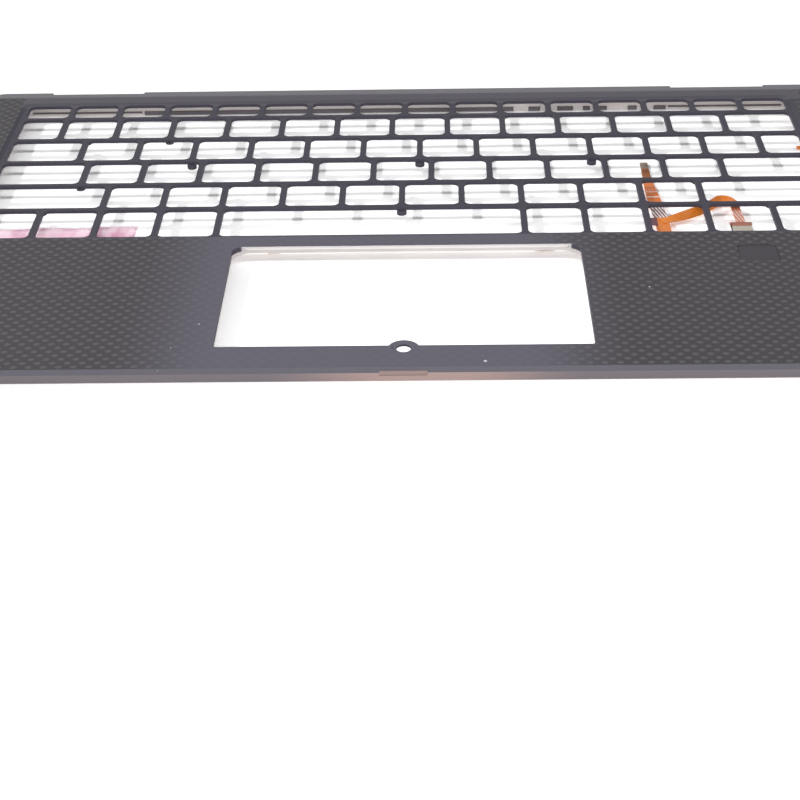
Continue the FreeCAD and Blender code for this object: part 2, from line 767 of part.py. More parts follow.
def palm_frame():
    """Metal plate under the palm rests, with the touchpad window, stiffening lips and case posts."""
    body = new_body("palm_frame")
    outline = sketch_on(body, "plate_outline", height=FRAME_UNDER)
    small = S.window_margin
    edges = (-INNER_HALF_WIDTH, INNER_HALF_WIDTH, INNER_FRONT, FRAME_REAR)
    rounded_rectangle(outline, "plate", *edges, S.frame_corner, small)
    pad(body, outline, "plate", S.frame_thickness)
    window = sketch_on(body, "window_outline", height=DECK_UNDER)
    half = PAD_HALF + S.window_margin
    front = PAD_FRONT - S.lug_radius - S.lug_setback
    rear = PAD_REAR + S.window_margin
    rounded_rectangle(window, "window", -half, half, front, rear, S.touchpad_rear_corner, S.window_corner)
    pocket(body, window, "touchpad_window")
    left, right, near, far = flange()
    room = S.flange_room
    seat = sketch_on(body, "reader_window_outline", height=DECK_UNDER)
    rounded_rectangle(seat, "reader", left - room, right + room, near - room, far + room, S.reader_corner)
    pocket(body, seat, "reader_window")
    lips = sketch_on(body, "lip_outline", height=FRAME_UNDER)
    cell_front = DECK_FRONT + S.cell_front_gap
    cell_rear = near - room - S.cell_rear_gap
    inner = half + S.cell_inset
    outer = HALF_WIDTH - S.cell_inset
    corner = S.reader_corner
    wall = S.lip_width
    for tag, start, end in (("right", inner, outer), ("left", -outer, -inner)):
        rounded_rectangle(lips, tag + "_outer", start, end, cell_front, cell_rear, corner)
        inside = (start + wall, end - wall, cell_front + wall, cell_rear - wall)
        rounded_rectangle(lips, tag + "_inner", *inside, corner - wall)
    pad(body, lips, "stiffening_lips", S.lip_drop, downward=True)
    case_posts(body, "front_post", front_posts(), FRAME_UNDER)
    foot = FRAME_UNDER - S.pad_post_drop
    pad_radii = (S.pad_post_radius, S.pad_insert_radius + S.insert_clearance)
    drilled_posts(body, "pad_post", touchpad_posts(), pad_radii, foot, S.pad_post_drop, S.pad_insert_length)
    holes = circles(body, "bracket_holes", bracket_screw_centres(), S.bracket_screw_radius, FRAME_UNDER)
    pocket(body, holes, "bracket_hole", S.bracket_screw_length, upward=True)
    return body


def rear_rail():
    """Rail behind the function row: bonded flange, upright front wall, case and hinge posts."""
    body = new_body("rear_rail")
    flange_sketch = sketch_on(body, "flange_outline", height=RAIL_UNDER)
    edges = (-INNER_HALF_WIDTH, INNER_HALF_WIDTH, RAIL_FRONT, INNER_REAR)
    rounded_rectangle(flange_sketch, "flange", *edges, S.window_margin, S.frame_corner)
    pad(body, flange_sketch, "flange", S.rail_thickness)
    wall = sketch_on(body, "wall_outline", height=S.rail_wall_stand)
    wall_ends = (KEYS_LEFT - S.side_margin, KEYS_RIGHT + S.side_margin)
    rectangle(wall, "wall", *wall_ends, RAIL_FRONT, RAIL_FRONT + S.rail_wall)
    pad(body, wall, "front_wall", RAIL_UNDER - S.rail_wall_stand)
    case_posts(body, "rear_post", rear_posts(), RAIL_UNDER)
    drop = S.hinge_post_drop
    radii = (S.hinge_post_radius, S.hinge_insert_radius + S.insert_clearance)
    drilled_posts(body, "hinge_post", hinge_posts(), radii, RAIL_UNDER - drop, drop, S.hinge_insert_length)
    return body


def side_rail(label, left, right, post):
    """Flat strip beside the keyboard, with one case post."""
    body = new_body(label)
    outline = sketch_on(body, "strip_outline", height=RAIL_UNDER)
    front = FRAME_REAR + S.stiffener_clearance
    rear = RAIL_FRONT - S.stiffener_clearance
    rounded_rectangle(outline, "strip", left, right, front, rear, S.window_margin)
    pad(body, outline, "strip", S.rail_thickness)
    case_posts(body, "side_post", [post], RAIL_UNDER)
    return body


def inserts(label, groups, radius, bore):
    """Threaded bushes: for each group, rings standing from a foot level into their posts."""
    body = new_body(label)
    for index, (centres, foot, length) in enumerate(groups):
        name = "ring" + str(index)
        pad(body, circles(body, name + "_outline", centres, radius, foot, bore), name, length)
    return body


def all_inserts():
    """The four groups of inserts."""
    case_centres = front_posts() + rear_posts() + side_posts()
    deep, short = web_junctions()
    web_length = S.web_insert_length - S.insert_clearance
    lift = S.insert_clearance
    web_groups = [
        (deep, DECK_UNDER - S.web_post_drop + lift, web_length),
        (short, DECK_UNDER - S.web_nub_drop + lift, web_length),
    ]
    web_radius = S.web_insert_radius - S.insert_clearance
    case = (case_centres, fixed(0) + lift, S.insert_length - lift)
    hinge = (hinge_posts(), RAIL_UNDER - S.hinge_post_drop + lift, S.hinge_insert_length - lift)
    pads = (touchpad_posts(), FRAME_UNDER - S.pad_post_drop + lift, S.pad_insert_length - lift)
    return [
        inserts("case_inserts", [case], S.insert_radius, S.insert_bore),
        inserts("keyboard_inserts", web_groups, web_radius, S.web_insert_bore),
        inserts("hinge_inserts", [hinge], S.hinge_insert_radius, S.hinge_insert_bore),
        inserts("touchpad_inserts", [pads], S.pad_insert_radius, S.pad_insert_bore),
    ]


def fingerprint_sensor():
    """Sensor tile in the deck's opening, standing on a flange that bears on the deck's underside."""
    body = new_body("fingerprint_sensor")
    left, right, front, rear = flange()
    base = sketch_on(body, "flange_outline", height=FRAME_UNDER)
    rounded_rectangle(base, "flange", left, right, front, rear, S.reader_corner)
    pad(body, base, "flange", S.frame_thickness)
    gap = S.reader_clearance
    tile = sketch_on(body, "tile_outline", height=DECK_UNDER)
    edges = (READER_LEFT + gap, READER_RIGHT - gap, READER_FRONT + gap, READER_REAR - gap)
    rounded_rectangle(tile, "tile", *edges, S.reader_corner - gap)
    pad(body, tile, "tile", S.plate_thickness - S.reader_sink)
    return body


def sensor_board():
    """Thin board under the flange, with a tongue that carries the connector behind the palm rest."""
    body = new_body("sensor_board")
    left, right, front, rear = flange()
    half = S.board_tongue_width / 2
    tip = SPACE_FRONT + S.board_reach
    outline = [
        (left, front),
        (right, front),
        (right, rear),
        (CONNECTOR_X + half, rear),
        (CONNECTOR_X + half, tip),
        (CONNECTOR_X - half, tip),
        (CONNECTOR_X - half, rear),
        (left, rear),
    ]
    sketch = sketch_on(body, "board_outline", height=FRAME_UNDER - S.board_thickness)
    polygon(sketch, "board", outline)
    pad(body, sketch, "board", S.board_thickness)
    return body


def sensor_bracket():
    """Folded spring clamp: a bridge under the board with an ear up against the frame on each side."""
    body = new_body("sensor_bracket")
    left, right, _, _ = flange()
    room = S.flange_room + S.bracket_room
    steel = S.bracket_thickness
    bridge_top = FRAME_UNDER - S.board_thickness
    bridge_under = bridge_top - steel
    ear_under = FRAME_UNDER - steel
    inner_left, inner_right = left - room + steel, right + room - steel
    outer_left, outer_right = left - room, right + room
    ear_left, ear_right = outer_left - S.bracket_ear, outer_right + S.bracket_ear
    profile = [
        (ear_left, ear_under),
        (outer_left, ear_under),
        (outer_left, bridge_under),
        (outer_right, bridge_under),
        (outer_right, ear_under),
        (ear_right, ear_under),
        (ear_right, FRAME_UNDER),
        (inner_right, FRAME_UNDER),
        (inner_right, bridge_top),
        (inner_left, bridge_top),
        (inner_left, FRAME_UNDER),
        (ear_left, FRAME_UNDER),
    ]
    sketch = sketch_on(body, "fold_profile", "XZ_Plane", -(READER_Y + S.bracket_depth / 2))
    polygon(sketch, "fold", profile)
    pad(body, sketch, "fold", S.bracket_depth)
    holes = circles(body, "ear_holes", bracket_screw_centres(), S.bracket_screw_radius, FRAME_UNDER)
    pocket(body, holes, "ear_hole", S.bracket_thickness + OVERCUT)
    return body


def bracket_screws():
    """Two small screws through the bracket's ears into the frame."""
    body = new_body("bracket_screws")
    centres = bracket_screw_centres()
    seat = FRAME_UNDER - S.bracket_thickness
    heads = circles(body, "heads", centres, S.bracket_head_radius, seat - S.bracket_head_height)
    pad(body, heads, "head", S.bracket_head_height)
    shank_radius = S.bracket_screw_radius - S.insert_clearance
    shanks = circles(body, "shanks", centres, shank_radius, seat)
    pad(body, shanks, "shank", S.bracket_thickness + S.bracket_screw_length - S.insert_clearance)
    return body


def connector_pieces():
    """Connector body and its latch on the board's tongue."""
    half = S.connector_width / 2
    tip = SPACE_FRONT + S.board_reach
    split = tip - S.latch_depth
    front = split - S.connector_depth
    latch_half = half + S.latch_overhang
    top = FRAME_UNDER + S.connector_height
    return [
        box("sensor_connector", CONNECTOR_X - half, CONNECTOR_X + half, front, split, FRAME_UNDER, top),
        box(
            "connector_latch",
            CONNECTOR_X - latch_half,
            CONNECTOR_X + latch_half,
            split,
            tip,
            FRAME_UNDER,
            FRAME_UNDER + S.latch_height,
        ),
    ]


def routed(point):
    """One point of a ribbon's route in the part's frame, as sizes."""
    scale = S.board_reach / ROUTE_REACH
    x, y, z = (scale * value for value in point)
    return READER_X + x, SPACE_FRONT + y, z


def ribbon_path(vertices):
    """Straight runs joined by tangent arcs, as a wire, with the arcs' radii."""
    share = 0.45
    edges = []
    radii = []
    start = vertices[0]
    for before, corner, after in zip(vertices, vertices[1:], vertices[2:]):
        back = (before - corner).normalize()
        onward = (after - corner).normalize()
        turn = math.pi - back.getAngle(onward)
        setback = share * min((corner - before).Length, (after - corner).Length)
        radius = setback / math.tan(turn / 2)
        entry = corner + back * setback
        leave = corner + onward * setback
        towards = (back + onward).normalize()
        middle = corner + towards * (radius / math.cos(turn / 2) - radius)
        edges.append(Part.LineSegment(start, entry).toShape())
        edges.append(Part.Arc(entry, middle, leave).toShape())
        radii.append(radius)
        start = leave
    edges.append(Part.LineSegment(start, vertices[-1]).toShape())
    return Part.Wire(edges), radii


def flex_ribbon(label, points, width):
    """A flat ribbon swept level along its route."""
    vertices = [VECTOR(*(size.value for size in routed(point))) for point in points]
    path, radii = ribbon_path(vertices)
    start = vertices[0]
    heading = (vertices[1] - start).normalize()
    across = VECTOR(0, 0, 1).cross(heading).normalize() * (width.value / 2)
    upward = heading.cross(across).normalize() * (S.flex_thickness.value / 2)
    lower = [start - across - upward, start + across - upward]
    upper = [start + across + upward, start - across + upward]
    section = Part.makePolygon(lower + upper + lower[:1])
    sweep = Part.BRepOffsetAPI.MakePipeShell(path)
    sweep.setBiNormalMode(VECTOR(0, 0, 1))
    sweep.add(section)
    sweep.build()
    sweep.makeSolid()
    feature = document.addObject("Part::Feature", label)
    feature.Label = label
    feature.Shape = sweep.shape()
    expected = path.Length * width.value * S.flex_thickness.value
    print(label, "length", round(path.Length, 2), "radii", [round(radius, 1) for radius in radii])
    print(label, "volume against section times length", round(feature.Shape.Volume / expected, 4))
    return feature


def main_flex():
    """The long ribbon, tapered to a narrow tail at its tip."""
    ribbon = flex_ribbon("main_ribbon", MAIN_FLEX_ROUTE, S.main_flex_width)
    tip_x, tip_y, _ = routed(MAIN_FLEX_ROUTE[-1])
    sides = new_body("tail_sides")
    sketch = sketch_on(sides, "tail_outline")
    for tag, side in (("left", -1), ("right", 1)):
        narrow = tip_x + S.tail_width / 2 * side
        wide = tip_x + S.main_flex_width / 2 * side
        start, end = tip_y - S.tail_length, tip_y + OVERCUT
        outer = wide + OVERCUT * side
        polygon(sketch, tag, [(narrow, end), (wide, start), (outer, start), (outer, end)])
    pad(sides, sketch, "tail_side", DECK_UNDER)
    tapered = document.addObject("Part::Cut", "main_flex")
    tapered.Label = "main_flex"
    tapered.Base = ribbon
    tapered.Tool = sides
    return tapered


def flex_fittings():
    """Bonded anchor at the main ribbon's start, contacts at its tip, and the tape beside it."""
    start_x, start_y, _ = routed(MAIN_FLEX_ROUTE[0])
    half = S.main_flex_width / 2 + S.anchor_margin
    anchor = box(
        "flex_anchor",
        start_x - half,
        start_x + half,
        start_y - S.anchor_depth,
        start_y,
        FRAME_UNDER - S.anchor_thickness,
        FRAME_UNDER,
    )
    tip_x, tip_y, tip_z = routed(MAIN_FLEX_ROUTE[-1])
    half_tip = S.tail_width / 2
    half_thick = S.contacts_thickness / 2
    contacts = box(
        "tail_contacts",
        tip_x - half_tip,
        tip_x + half_tip,
        tip_y,
        tip_y + S.contacts_length,
        tip_z - half_thick,
        tip_z + half_thick,
    )
    joint_x, joint_y, joint_z = routed(BRANCH_FLEX_ROUTE[-1])
    tape_right = joint_x - S.branch_flex_width / 2
    tape = box(
        "flex_tape",
        tape_right - S.tape_width,
        tape_right,
        joint_y - S.tape_depth / 2,
        joint_y + S.tape_depth / 2,
        joint_z - S.flex_thickness / 2,
        joint_z - S.flex_thickness / 2 + S.tape_thickness,
    )
    return [anchor, contacts, tape]


def button_flex():
    """Short tongue of another ribbon, bonded under the right side rail."""
    body = new_body("button_flex")
    edge = KEYS_RIGHT + S.side_margin
    base = edge + S.button_flex_overlap
    tip = base - S.button_flex_overlap - S.button_flex_length
    middle = fixed(0) + S.button_flex_y
    half = S.button_flex_width / 2
    outline = [
        (tip, middle - half / 2),
        (edge, middle - half),
        (base, middle - half),
        (base, middle + half),
        (edge, middle + half),
        (tip, middle + half / 2),
    ]
    sketch = sketch_on(body, "tongue_outline", height=RAIL_UNDER - S.flex_thickness)
    polygon(sketch, "tongue", outline)
    pad(body, sketch, "tongue", S.flex_thickness)
    return body


def gaskets():
    """Dark foam on the rear rail's front wall: a long strip, then blocks and thin strips."""
    front = RAIL_FRONT - S.gasket_thickness
    bottom = S.rail_wall_stand
    top = bottom + S.gasket_height
    ends = (fixed(0) + S.gasket_left, fixed(0) + S.gasket_right)
    strip = box("rear_gasket", *ends, front, RAIL_FRONT, bottom, top)
    pieces = []
    for index, (start, length) in enumerate(GASKET_BLOCKS):
        left = fixed(start)
        pieces.append(box("gasket_block" + str(index), left, left + length, front, RAIL_FRONT, bottom, top))
    tape_bottom = bottom + S.gasket_tape_lift
    tape_top = tape_bottom + S.gasket_tape_height
    last_start, last_length = GASKET_BLOCKS[-1]
    tapes = (
        ("left", KEYS_LEFT, S.gasket_left - S.window_margin),
        ("right", fixed(last_start + last_length) + S.window_margin, KEYS_RIGHT),
    )
    for tag, left, right in tapes:
        pieces.append(box("gasket_tape_" + tag, left, right, front, RAIL_FRONT, tape_bottom, tape_top))
    group = document.addObject("Part::Compound", "gasket_blocks")
    group.Label = "gasket_blocks"
    group.Links = pieces
    return [strip, group]


def liner_film():
    """Release film that sticks out from under the left palm rest."""
    return box(
        "liner_film",
        KEYS_LEFT + S.film_inset,
        KEYS_LEFT + S.film_inset + S.film_width,
        FRAME_REAR - S.film_tuck,
        SPACE_FRONT + S.film_reach,
        FRAME_UNDER - S.film_thickness,
        FRAME_UNDER,
    )


def status_light_guide():
    """Clear bar in the slot of the front edge."""
    gap = S.guide_clearance
    half = S.guide_width / 2 - gap
    top = DECK_TOP - S.guide_drop - gap
    return box(
        "status_light_guide",
        -half,
        half,
        DECK_FRONT + S.guide_sink,
        DECK_FRONT + S.rim_wall,
        top - S.guide_height + gap * 2,
        top,
    )


def build():
    """Every sub-part, in the order in which the real one is put together."""
    left_inner = KEYS_LEFT - S.side_margin
    right_inner = KEYS_RIGHT + S.side_margin
    left_post, right_post = side_posts()
    pieces = [deck_panel(), palm_frame(), rear_rail()]
    pieces.append(side_rail("side_rail_left", -INNER_HALF_WIDTH, left_inner, left_post))
    pieces.append(side_rail("side_rail_right", right_inner, INNER_HALF_WIDTH, right_post))
    pieces.extend(all_inserts())
    pieces.extend([fingerprint_sensor(), sensor_board(), sensor_bracket(), bracket_screws()])
    pieces.extend(connector_pieces())
    pieces.append(main_flex())
    pieces.append(flex_ribbon("branch_flex", BRANCH_FLEX_ROUTE, S.branch_flex_width))
    pieces.extend(flex_fittings())
    pieces.append(button_flex())
    pieces.extend(gaskets())
    pieces.append(liner_film())
    pieces.append(status_light_guide())
    return pieces


def export(pieces):
    """Stop at any failed object or bad solid, then write one file for each sub-part."""
    document.recompute()
    for item in document.Objects:
        faults = [state for state in item.State if state in ("Invalid", "Error")]
        if faults:
            raise RuntimeError(item.Label + " failed: " + ", ".join(faults))
    for piece in pieces:
        if piece.Shape.isNull() or not piece.Shape.isValid():
            raise RuntimeError(piece.Label + " has no valid solid")
    os.makedirs("parts", exist_ok=True)
    for piece in pieces:
        piece.Shape.exportStep(os.path.join("parts", piece.Label + ".step"))
        print(piece.Label, len(piece.Shape.Solids), "solids", round(piece.Shape.Volume, 1), "mm3")


export(build())
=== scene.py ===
"""Looks of a laptop palm rest with its keyboard and touchpad taken out.

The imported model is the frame. Each sub-assembly below dresses its own solids, and adds the pieces
that a solid can't give: the two loose ribbons, the touchpad's seal and the thin release film.
Lengths are metres in the part's frame: X along the width, Y towards the hinges, Z up.
"""
from __future__ import annotations

import json
import logging
import math
from dataclasses import dataclass
from enum import Enum
from functools import cached_property, partial, reduce
from typing import ClassVar, Dict, List, Optional, Sequence, Tuple, Union

import bpy
from mathutils import Matrix, Vector

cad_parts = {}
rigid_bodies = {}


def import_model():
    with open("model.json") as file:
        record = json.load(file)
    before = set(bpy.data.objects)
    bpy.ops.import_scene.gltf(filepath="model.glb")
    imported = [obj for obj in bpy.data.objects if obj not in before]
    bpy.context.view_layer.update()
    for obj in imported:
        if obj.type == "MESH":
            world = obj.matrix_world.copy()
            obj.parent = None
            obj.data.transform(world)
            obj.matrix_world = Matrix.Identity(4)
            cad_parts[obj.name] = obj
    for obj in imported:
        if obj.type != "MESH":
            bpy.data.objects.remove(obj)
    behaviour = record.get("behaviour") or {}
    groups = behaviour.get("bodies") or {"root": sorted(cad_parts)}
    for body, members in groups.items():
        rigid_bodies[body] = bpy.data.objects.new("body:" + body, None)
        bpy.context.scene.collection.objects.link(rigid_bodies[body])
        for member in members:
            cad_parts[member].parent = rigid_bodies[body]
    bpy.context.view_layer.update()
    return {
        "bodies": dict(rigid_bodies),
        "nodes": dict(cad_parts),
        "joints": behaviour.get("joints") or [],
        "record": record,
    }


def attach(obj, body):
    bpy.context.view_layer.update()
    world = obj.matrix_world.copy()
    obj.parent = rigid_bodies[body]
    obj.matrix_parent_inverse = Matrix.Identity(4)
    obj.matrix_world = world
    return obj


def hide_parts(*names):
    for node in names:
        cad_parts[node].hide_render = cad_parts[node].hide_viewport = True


LOG = logging.getLogger("palm_rest")
MM = 0.001
NODE_STEP = 180
MIX_INPUTS = (0, 6, 7)
MIX_RESULT = 2

Colour = Tuple[float, float, float]
Point = Tuple[float, float, float]
Step = Tuple[float, float]
Face = Tuple[int, ...]
Socket = bpy.types.NodeSocket
Outputs = bpy.types.bpy_prop_collection
Feed = Union[float, Sequence[float], Socket]
Feeds = Dict[Union[str, int], Feed]

WHITE: Colour = (1.0, 1.0, 1.0)
SECTION = ((-1, -1), (1, -1), (1, 1), (-1, 1))


class Slot(Enum):
    """Material slots of the record."""

    COMPOSITE = "composite"
    MAGNESIUM = "magnesium"
    INSERT = "insert_brass"
    SENSOR = "sensor_tile"
    BOARD = "board"
    SPRING = "spring_steel"
    CONNECTOR = "connector_body"
    LATCH = "connector_latch"
    POLYIMIDE = "polyimide"
    CONTACTS = "contact_gold"
    TAPE = "maroon_tape"
    FOAM = "foam"
    FILM = "pink_film"
    GUIDE = "light_guide"


class Axis(Enum):
    """Directions in the part's frame, as indices."""

    X = 0
    Y = 1
    Z = 2


def mm(*values: float) -> Tuple[float, ...]:
    """Millimetres as metres."""
    return tuple(value * MM for value in values)


def put(name: str, data: bpy.types.ID) -> bpy.types.Object:
    """Add an object to the scene.

    Args:
        name: the object's name.
        data: its mesh, lamp or camera.

    Returns:
        The object.
    """
    item = bpy.data.objects.new(name, data)
    bpy.context.scene.collection.objects.link(item)
    return item


def shape(
    name: str, vertices: Sequence[Point], faces: Sequence[Face], material: bpy.types.Material
) -> bpy.types.Object:
    """Add a mesh in one material to the scene.

    Args:
        name: the name of the mesh and of its object.
        vertices: its points.
        faces: its faces, as indices of the points.
        material: its material.

    Returns:
        The object.
    """
    mesh = bpy.data.meshes.new(name)
    mesh.from_pydata(vertices, [], faces)
    mesh.materials.append(material)
    return put(name, mesh)


class Graph:
    """Places nodes in one node tree and joins them."""

    def __init__(self, tree: bpy.types.NodeTree) -> None:
        """Work on an existing tree."""
        self.tree = tree
        self.column = 0

    def feed(self, socket: Socket, value: Feed) -> None:
        """Set a socket's value, or link another socket to it.

        Args:
            socket: the input to fill.
            value: a number, a colour or an output.
        """
        if isinstance(value, Socket):
            self.tree.links.new(value, socket)
        elif isinstance(value, tuple) and len(value) == 3 and len(socket.default_value) == 4:
            socket.default_value = (*value, 1.0)
        else:
            socket.default_value = value

    def fill(self, node: bpy.types.Node, feeds: Feeds) -> None:
        """Fill inputs of a node, by name or index."""
        for key, value in feeds.items():
            self.feed(node.inputs[key], value)

    def node(self, kind: str, feeds: Optional[Feeds] = None, **settings: object) -> bpy.types.Node:
        """Add one node.

        Args:
            kind: the node's type name.
            feeds: what goes into its inputs, by name or index.
            settings: attributes to set on it.

        Returns:
            The new node.
        """
        node = self.tree.nodes.new(kind)
        node.location = (self.column * NODE_STEP, 0)
        self.column += 1
        for name, value in settings.items():
            setattr(node, name, value)
        self.fill(node, feeds or {})
        return node

    def math(self, operation: str, *values: Feed, clamp: bool = False) -> Socket:
        """The result of a Math node, kept from 0 to 1 if it is clamped."""
        feeds = dict(enumerate(values))
        return self.node("ShaderNodeMath", feeds, operation=operation, use_clamp=clamp).outputs[0]

    def product(self, *values: Feed) -> Socket:
        """Numbers multiplied."""
        return reduce(partial(self.math, "MULTIPLY"), values)

    def opposite(self, value: Feed, clamp: bool = False) -> Socket:
        """One less a number."""
        return self.math("SUBTRACT", 1.0, value, clamp=clamp)

    def apart(self, value: Feed, centre: float = 0.0) -> Socket:
        """How far a number is from a centre."""
        return self.math("ABSOLUTE", self.math("SUBTRACT", value, centre))

    def between(self, value: Feed, low: float, high: float) -> Socket:
        """A smooth step.

        Args:
            value: the number to judge.
            low: where the step is 0.
            high: where it is 1; below low for a falling step.

        Returns:
            The step.
        """
        feeds = {
            "Value": value,
            "From Min": min(low, high),
            "From Max": max(low, high),
            "To Min": float(low > high),
            "To Max": float(low < high),
        }
        return self.node("ShaderNodeMapRange", feeds, interpolation_type="SMOOTHSTEP").outputs["Result"]

    def band(self, value: Feed, span: Step, soft: float) -> Socket:
        """A mask that is 1 along a span and falls off over a soft length at both ends."""
        low, high = span
        return self.product(self.between(value, low - soft, low), self.between(value, high + soft, high))

    def mix(self, factor: Feed, low: Feed, high: Feed) -> Socket:
        """A blend of two colours, the first at a factor of 0 and the second at 1."""
        feeds = dict(zip(MIX_INPUTS, (factor, low, high)))
        return self.node("ShaderNodeMix", feeds, data_type="RGBA").outputs[MIX_RESULT]

    def over(self, colour: Feed, coat: Feed, *masks: Feed) -> Socket:
        """A colour with a coat over it, as far as all the masks let it show."""
        return self.mix(self.product(*masks), colour, coat)

    def noise(self, vector: Feed, scale: Feed, detail: float = 2.0) -> Socket:
        """Smooth noise from 0 to 1, with its features to a unit and its octaves."""
        feeds = {"Vector": vector, "Scale": scale, "Detail": detail}
        return self.node("ShaderNodeTexNoise", feeds).outputs[0]

    @cached_property
    def position(self) -> Socket:
        """The shading point."""
        return self.node("ShaderNodeNewGeometry").outputs["Position"]

    @cached_property
    def places(self) -> List[Socket]:
        """The shading point's three coordinates."""
        return self.parts(self.position)

    @cached_property
    def normal(self) -> Socket:
        """The face's own normal."""
        return self.node("ShaderNodeNewGeometry").outputs["True Normal"]

    def parts(self, vector: Socket) -> List[Socket]:
        """A vector's three coordinates."""
        return list(self.node("ShaderNodeSeparateXYZ", {0: vector}).outputs)

    def facing(self, axis: Axis) -> Socket:
        """How far the face looks along one axis, from -1 to 1."""
        return self.parts(self.normal)[axis.value]

    def bump(self, height: Feed, strength: float, distance: float) -> Socket:
        """A normal from a height, for which 1 stands for the distance."""
        feeds = {"Strength": strength, "Distance": distance, "Height": height}
        return self.node("ShaderNodeBump", feeds).outputs[0]

    def group(self, effect: Effect, **feeds: Feed) -> Outputs:
        """The outputs of a shared effect, with its inputs filled by name."""
        return self.node("ShaderNodeGroup", feeds, node_tree=effect.tree()).outputs


@dataclass(frozen=True)
class Effect:
    """A shader node group that several finishes share.

    Args:
        name: the group's name.
        inputs: name and default of each input; a number or a colour.
        outputs: name of each output; Color is a colour and any other is a number.
    """

    name: str
    inputs: Tuple[Tuple[str, Feed], ...]
    outputs: Tuple[str, ...]

    def tree(self) -> bpy.types.NodeTree:
        """The group, built the first time that it is asked for.

        Returns:
            The node group.
        """
        known = bpy.data.node_groups.get(self.name)
        if known:
            return known
        tree = bpy.data.node_groups.new(self.name, "ShaderNodeTree")
        for name, default in self.inputs:
            plain = isinstance(default, float)
            kind = "NodeSocketFloat" if plain else "NodeSocketColor"
            socket = tree.interface.new_socket(name, in_out="INPUT", socket_type=kind)
            socket.default_value = default if plain else (*default, 1.0)
        for name in self.outputs:
            kind = "NodeSocketColor" if name == "Color" else "NodeSocketFloat"
            tree.interface.new_socket(name, in_out="OUTPUT", socket_type=kind)
        graph = Graph(tree)
        source = graph.node("NodeGroupInput")
        results = self.draw(graph, {name: source.outputs[name] for name, _ in self.inputs})
        graph.node("NodeGroupOutput", results)
        return tree

    def draw(self, graph: Graph, values: Dict[str, Socket]) -> Feeds:
        """Lay the group's nodes.

        Args:
            graph: where the nodes go.
            values: the group's inputs by name.

        Returns:
            The group's outputs by name.
        """
        raise NotImplementedError


class WeaveEffect(Effect):
    """Plain weave of flat tows; across-tows carry painted highlight lenses, lengthwise ones stay dull."""

    fall_along: ClassVar[float] = 0.75
    fall_beside: ClassVar[float] = 1.1

    def draw(self, graph: Graph, values: Dict[str, Socket]) -> Feeds:
        """Checker of tows, each with a crowned profile.

        Args:
            graph: where the nodes go.
            values: pitch, and the two tows' colours.

        Returns:
            Colour, mask of the painted highlight lenses, and height.
        """
        x, y, _ = graph.places
        cells = [graph.math("DIVIDE", value, values["Pitch"]) for value in (x, y)]
        steps = [graph.math("FLOOR", cell) for cell in cells]
        parity = graph.math("FLOORED_MODULO", graph.math("ADD", *steps), 2.0)
        across = graph.math("GREATER_THAN", parity, 0.5)
        offsets = [graph.math("SUBTRACT", graph.math("FRACT", cell), 0.5) for cell in cells]
        # The factor brings a square to 1 at the edge of a tow.
        squares = [graph.product(offset, offset, 4.0) for offset in offsets]
        crowns = []
        for along, beside in (squares, squares[::-1]):
            lengthwise = graph.product(along, self.fall_along)
            fall = graph.math("ADD", lengthwise, graph.product(beside, self.fall_beside))
            crowns.append(graph.opposite(fall, clamp=True))
        # The across-tows' lenses are painted highlights: lighter colour standing in for light on them.
        bright = graph.product(crowns[0], across)
        dull = graph.product(crowns[1], graph.opposite(across))
        colour = graph.mix(bright, values["Dark"], values["Light"])
        return {"Color": colour, "Mask": bright, "Height": graph.math("ADD", bright, dull)}


class GrainEffect(Effect):
    """Fine grain of a moulded or coated skin, with slow clouds of tone."""

    octaves: ClassVar[float] = 3.0
    clouds: ClassVar[float] = 45.0
    cloud_edge: ClassVar[Step] = (0.3, 0.7)

    def draw(self, graph: Graph, values: Dict[str, Socket]) -> Feeds:
        """Two noises, one fine for the height and one slow for the tone.

        Args:
            graph: where the nodes go.
            values: grains to a metre, and the tone's two colours.

        Returns:
            Colour, height and tone.
        """
        fine = graph.noise(graph.position, values["Scale"], self.octaves)
        tone = graph.between(graph.noise(graph.position, self.clouds), *self.cloud_edge)
        colour = graph.mix(tone, values["Dark"], values["Light"])
        return {"Color": colour, "Height": fine, "Tone": tone}


class WearEffect(Effect):
    """Rubbed edges: where a rounded corner's normal leaves the face's own."""

    samples: ClassVar[int] = 4
    turn: ClassVar[Step] = (0.02, 0.22)
    patches: ClassVar[float] = 260.0
    octaves: ClassVar[float] = 3.0
    patch_edge: ClassVar[Step] = (0.42, 0.62)

    def draw(self, graph: Graph, values: Dict[str, Socket]) -> Feeds:
        """Edge mask broken up by noise.

        Args:
            graph: where the nodes go.
            values: radius of the rounding.

        Returns:
            The mask.
        """
        rounded = graph.node("ShaderNodeBevel", {"Radius": values["Radius"]}, samples=self.samples)
        sides = {0: rounded.outputs[0], 1: graph.normal}
        dot = graph.node("ShaderNodeVectorMath", sides, operation="DOT_PRODUCT").outputs["Value"]
        edge = graph.between(graph.opposite(dot), *self.turn)
        patchy = graph.between(graph.noise(graph.position, self.patches, self.octaves), *self.patch_edge)
        return {"Mask": graph.product(edge, patchy)}


class DustEffect(Effect):
    """Sparse pale specks on faces that look up."""

    speck: ClassVar[Step] = (0.09, 0.03)
    upward: ClassVar[Step] = (0.5, 0.9)

    def draw(self, graph: Graph, values: Dict[str, Socket]) -> Feeds:
        """Specks at the middle of a few cells of a cell noise.

        Args:
            graph: where the nodes go.
            values: cells to a metre, and the share of them with a speck.

        Returns:
            The mask.
        """
        spread = {"Vector": graph.position, "Scale": values["Scale"]}
        cells = graph.node("ShaderNodeTexVoronoi", spread, feature="F1").outputs
        near = graph.between(cells["Distance"], *self.speck)
        draw = graph.node("ShaderNodeSeparateColor", {0: cells["Color"]}).outputs[0]
        chosen = graph.math("GREATER_THAN", draw, graph.opposite(values["Share"]))
        return {"Mask": graph.product(near, chosen, graph.between(graph.facing(Axis.Z), *self.upward))}


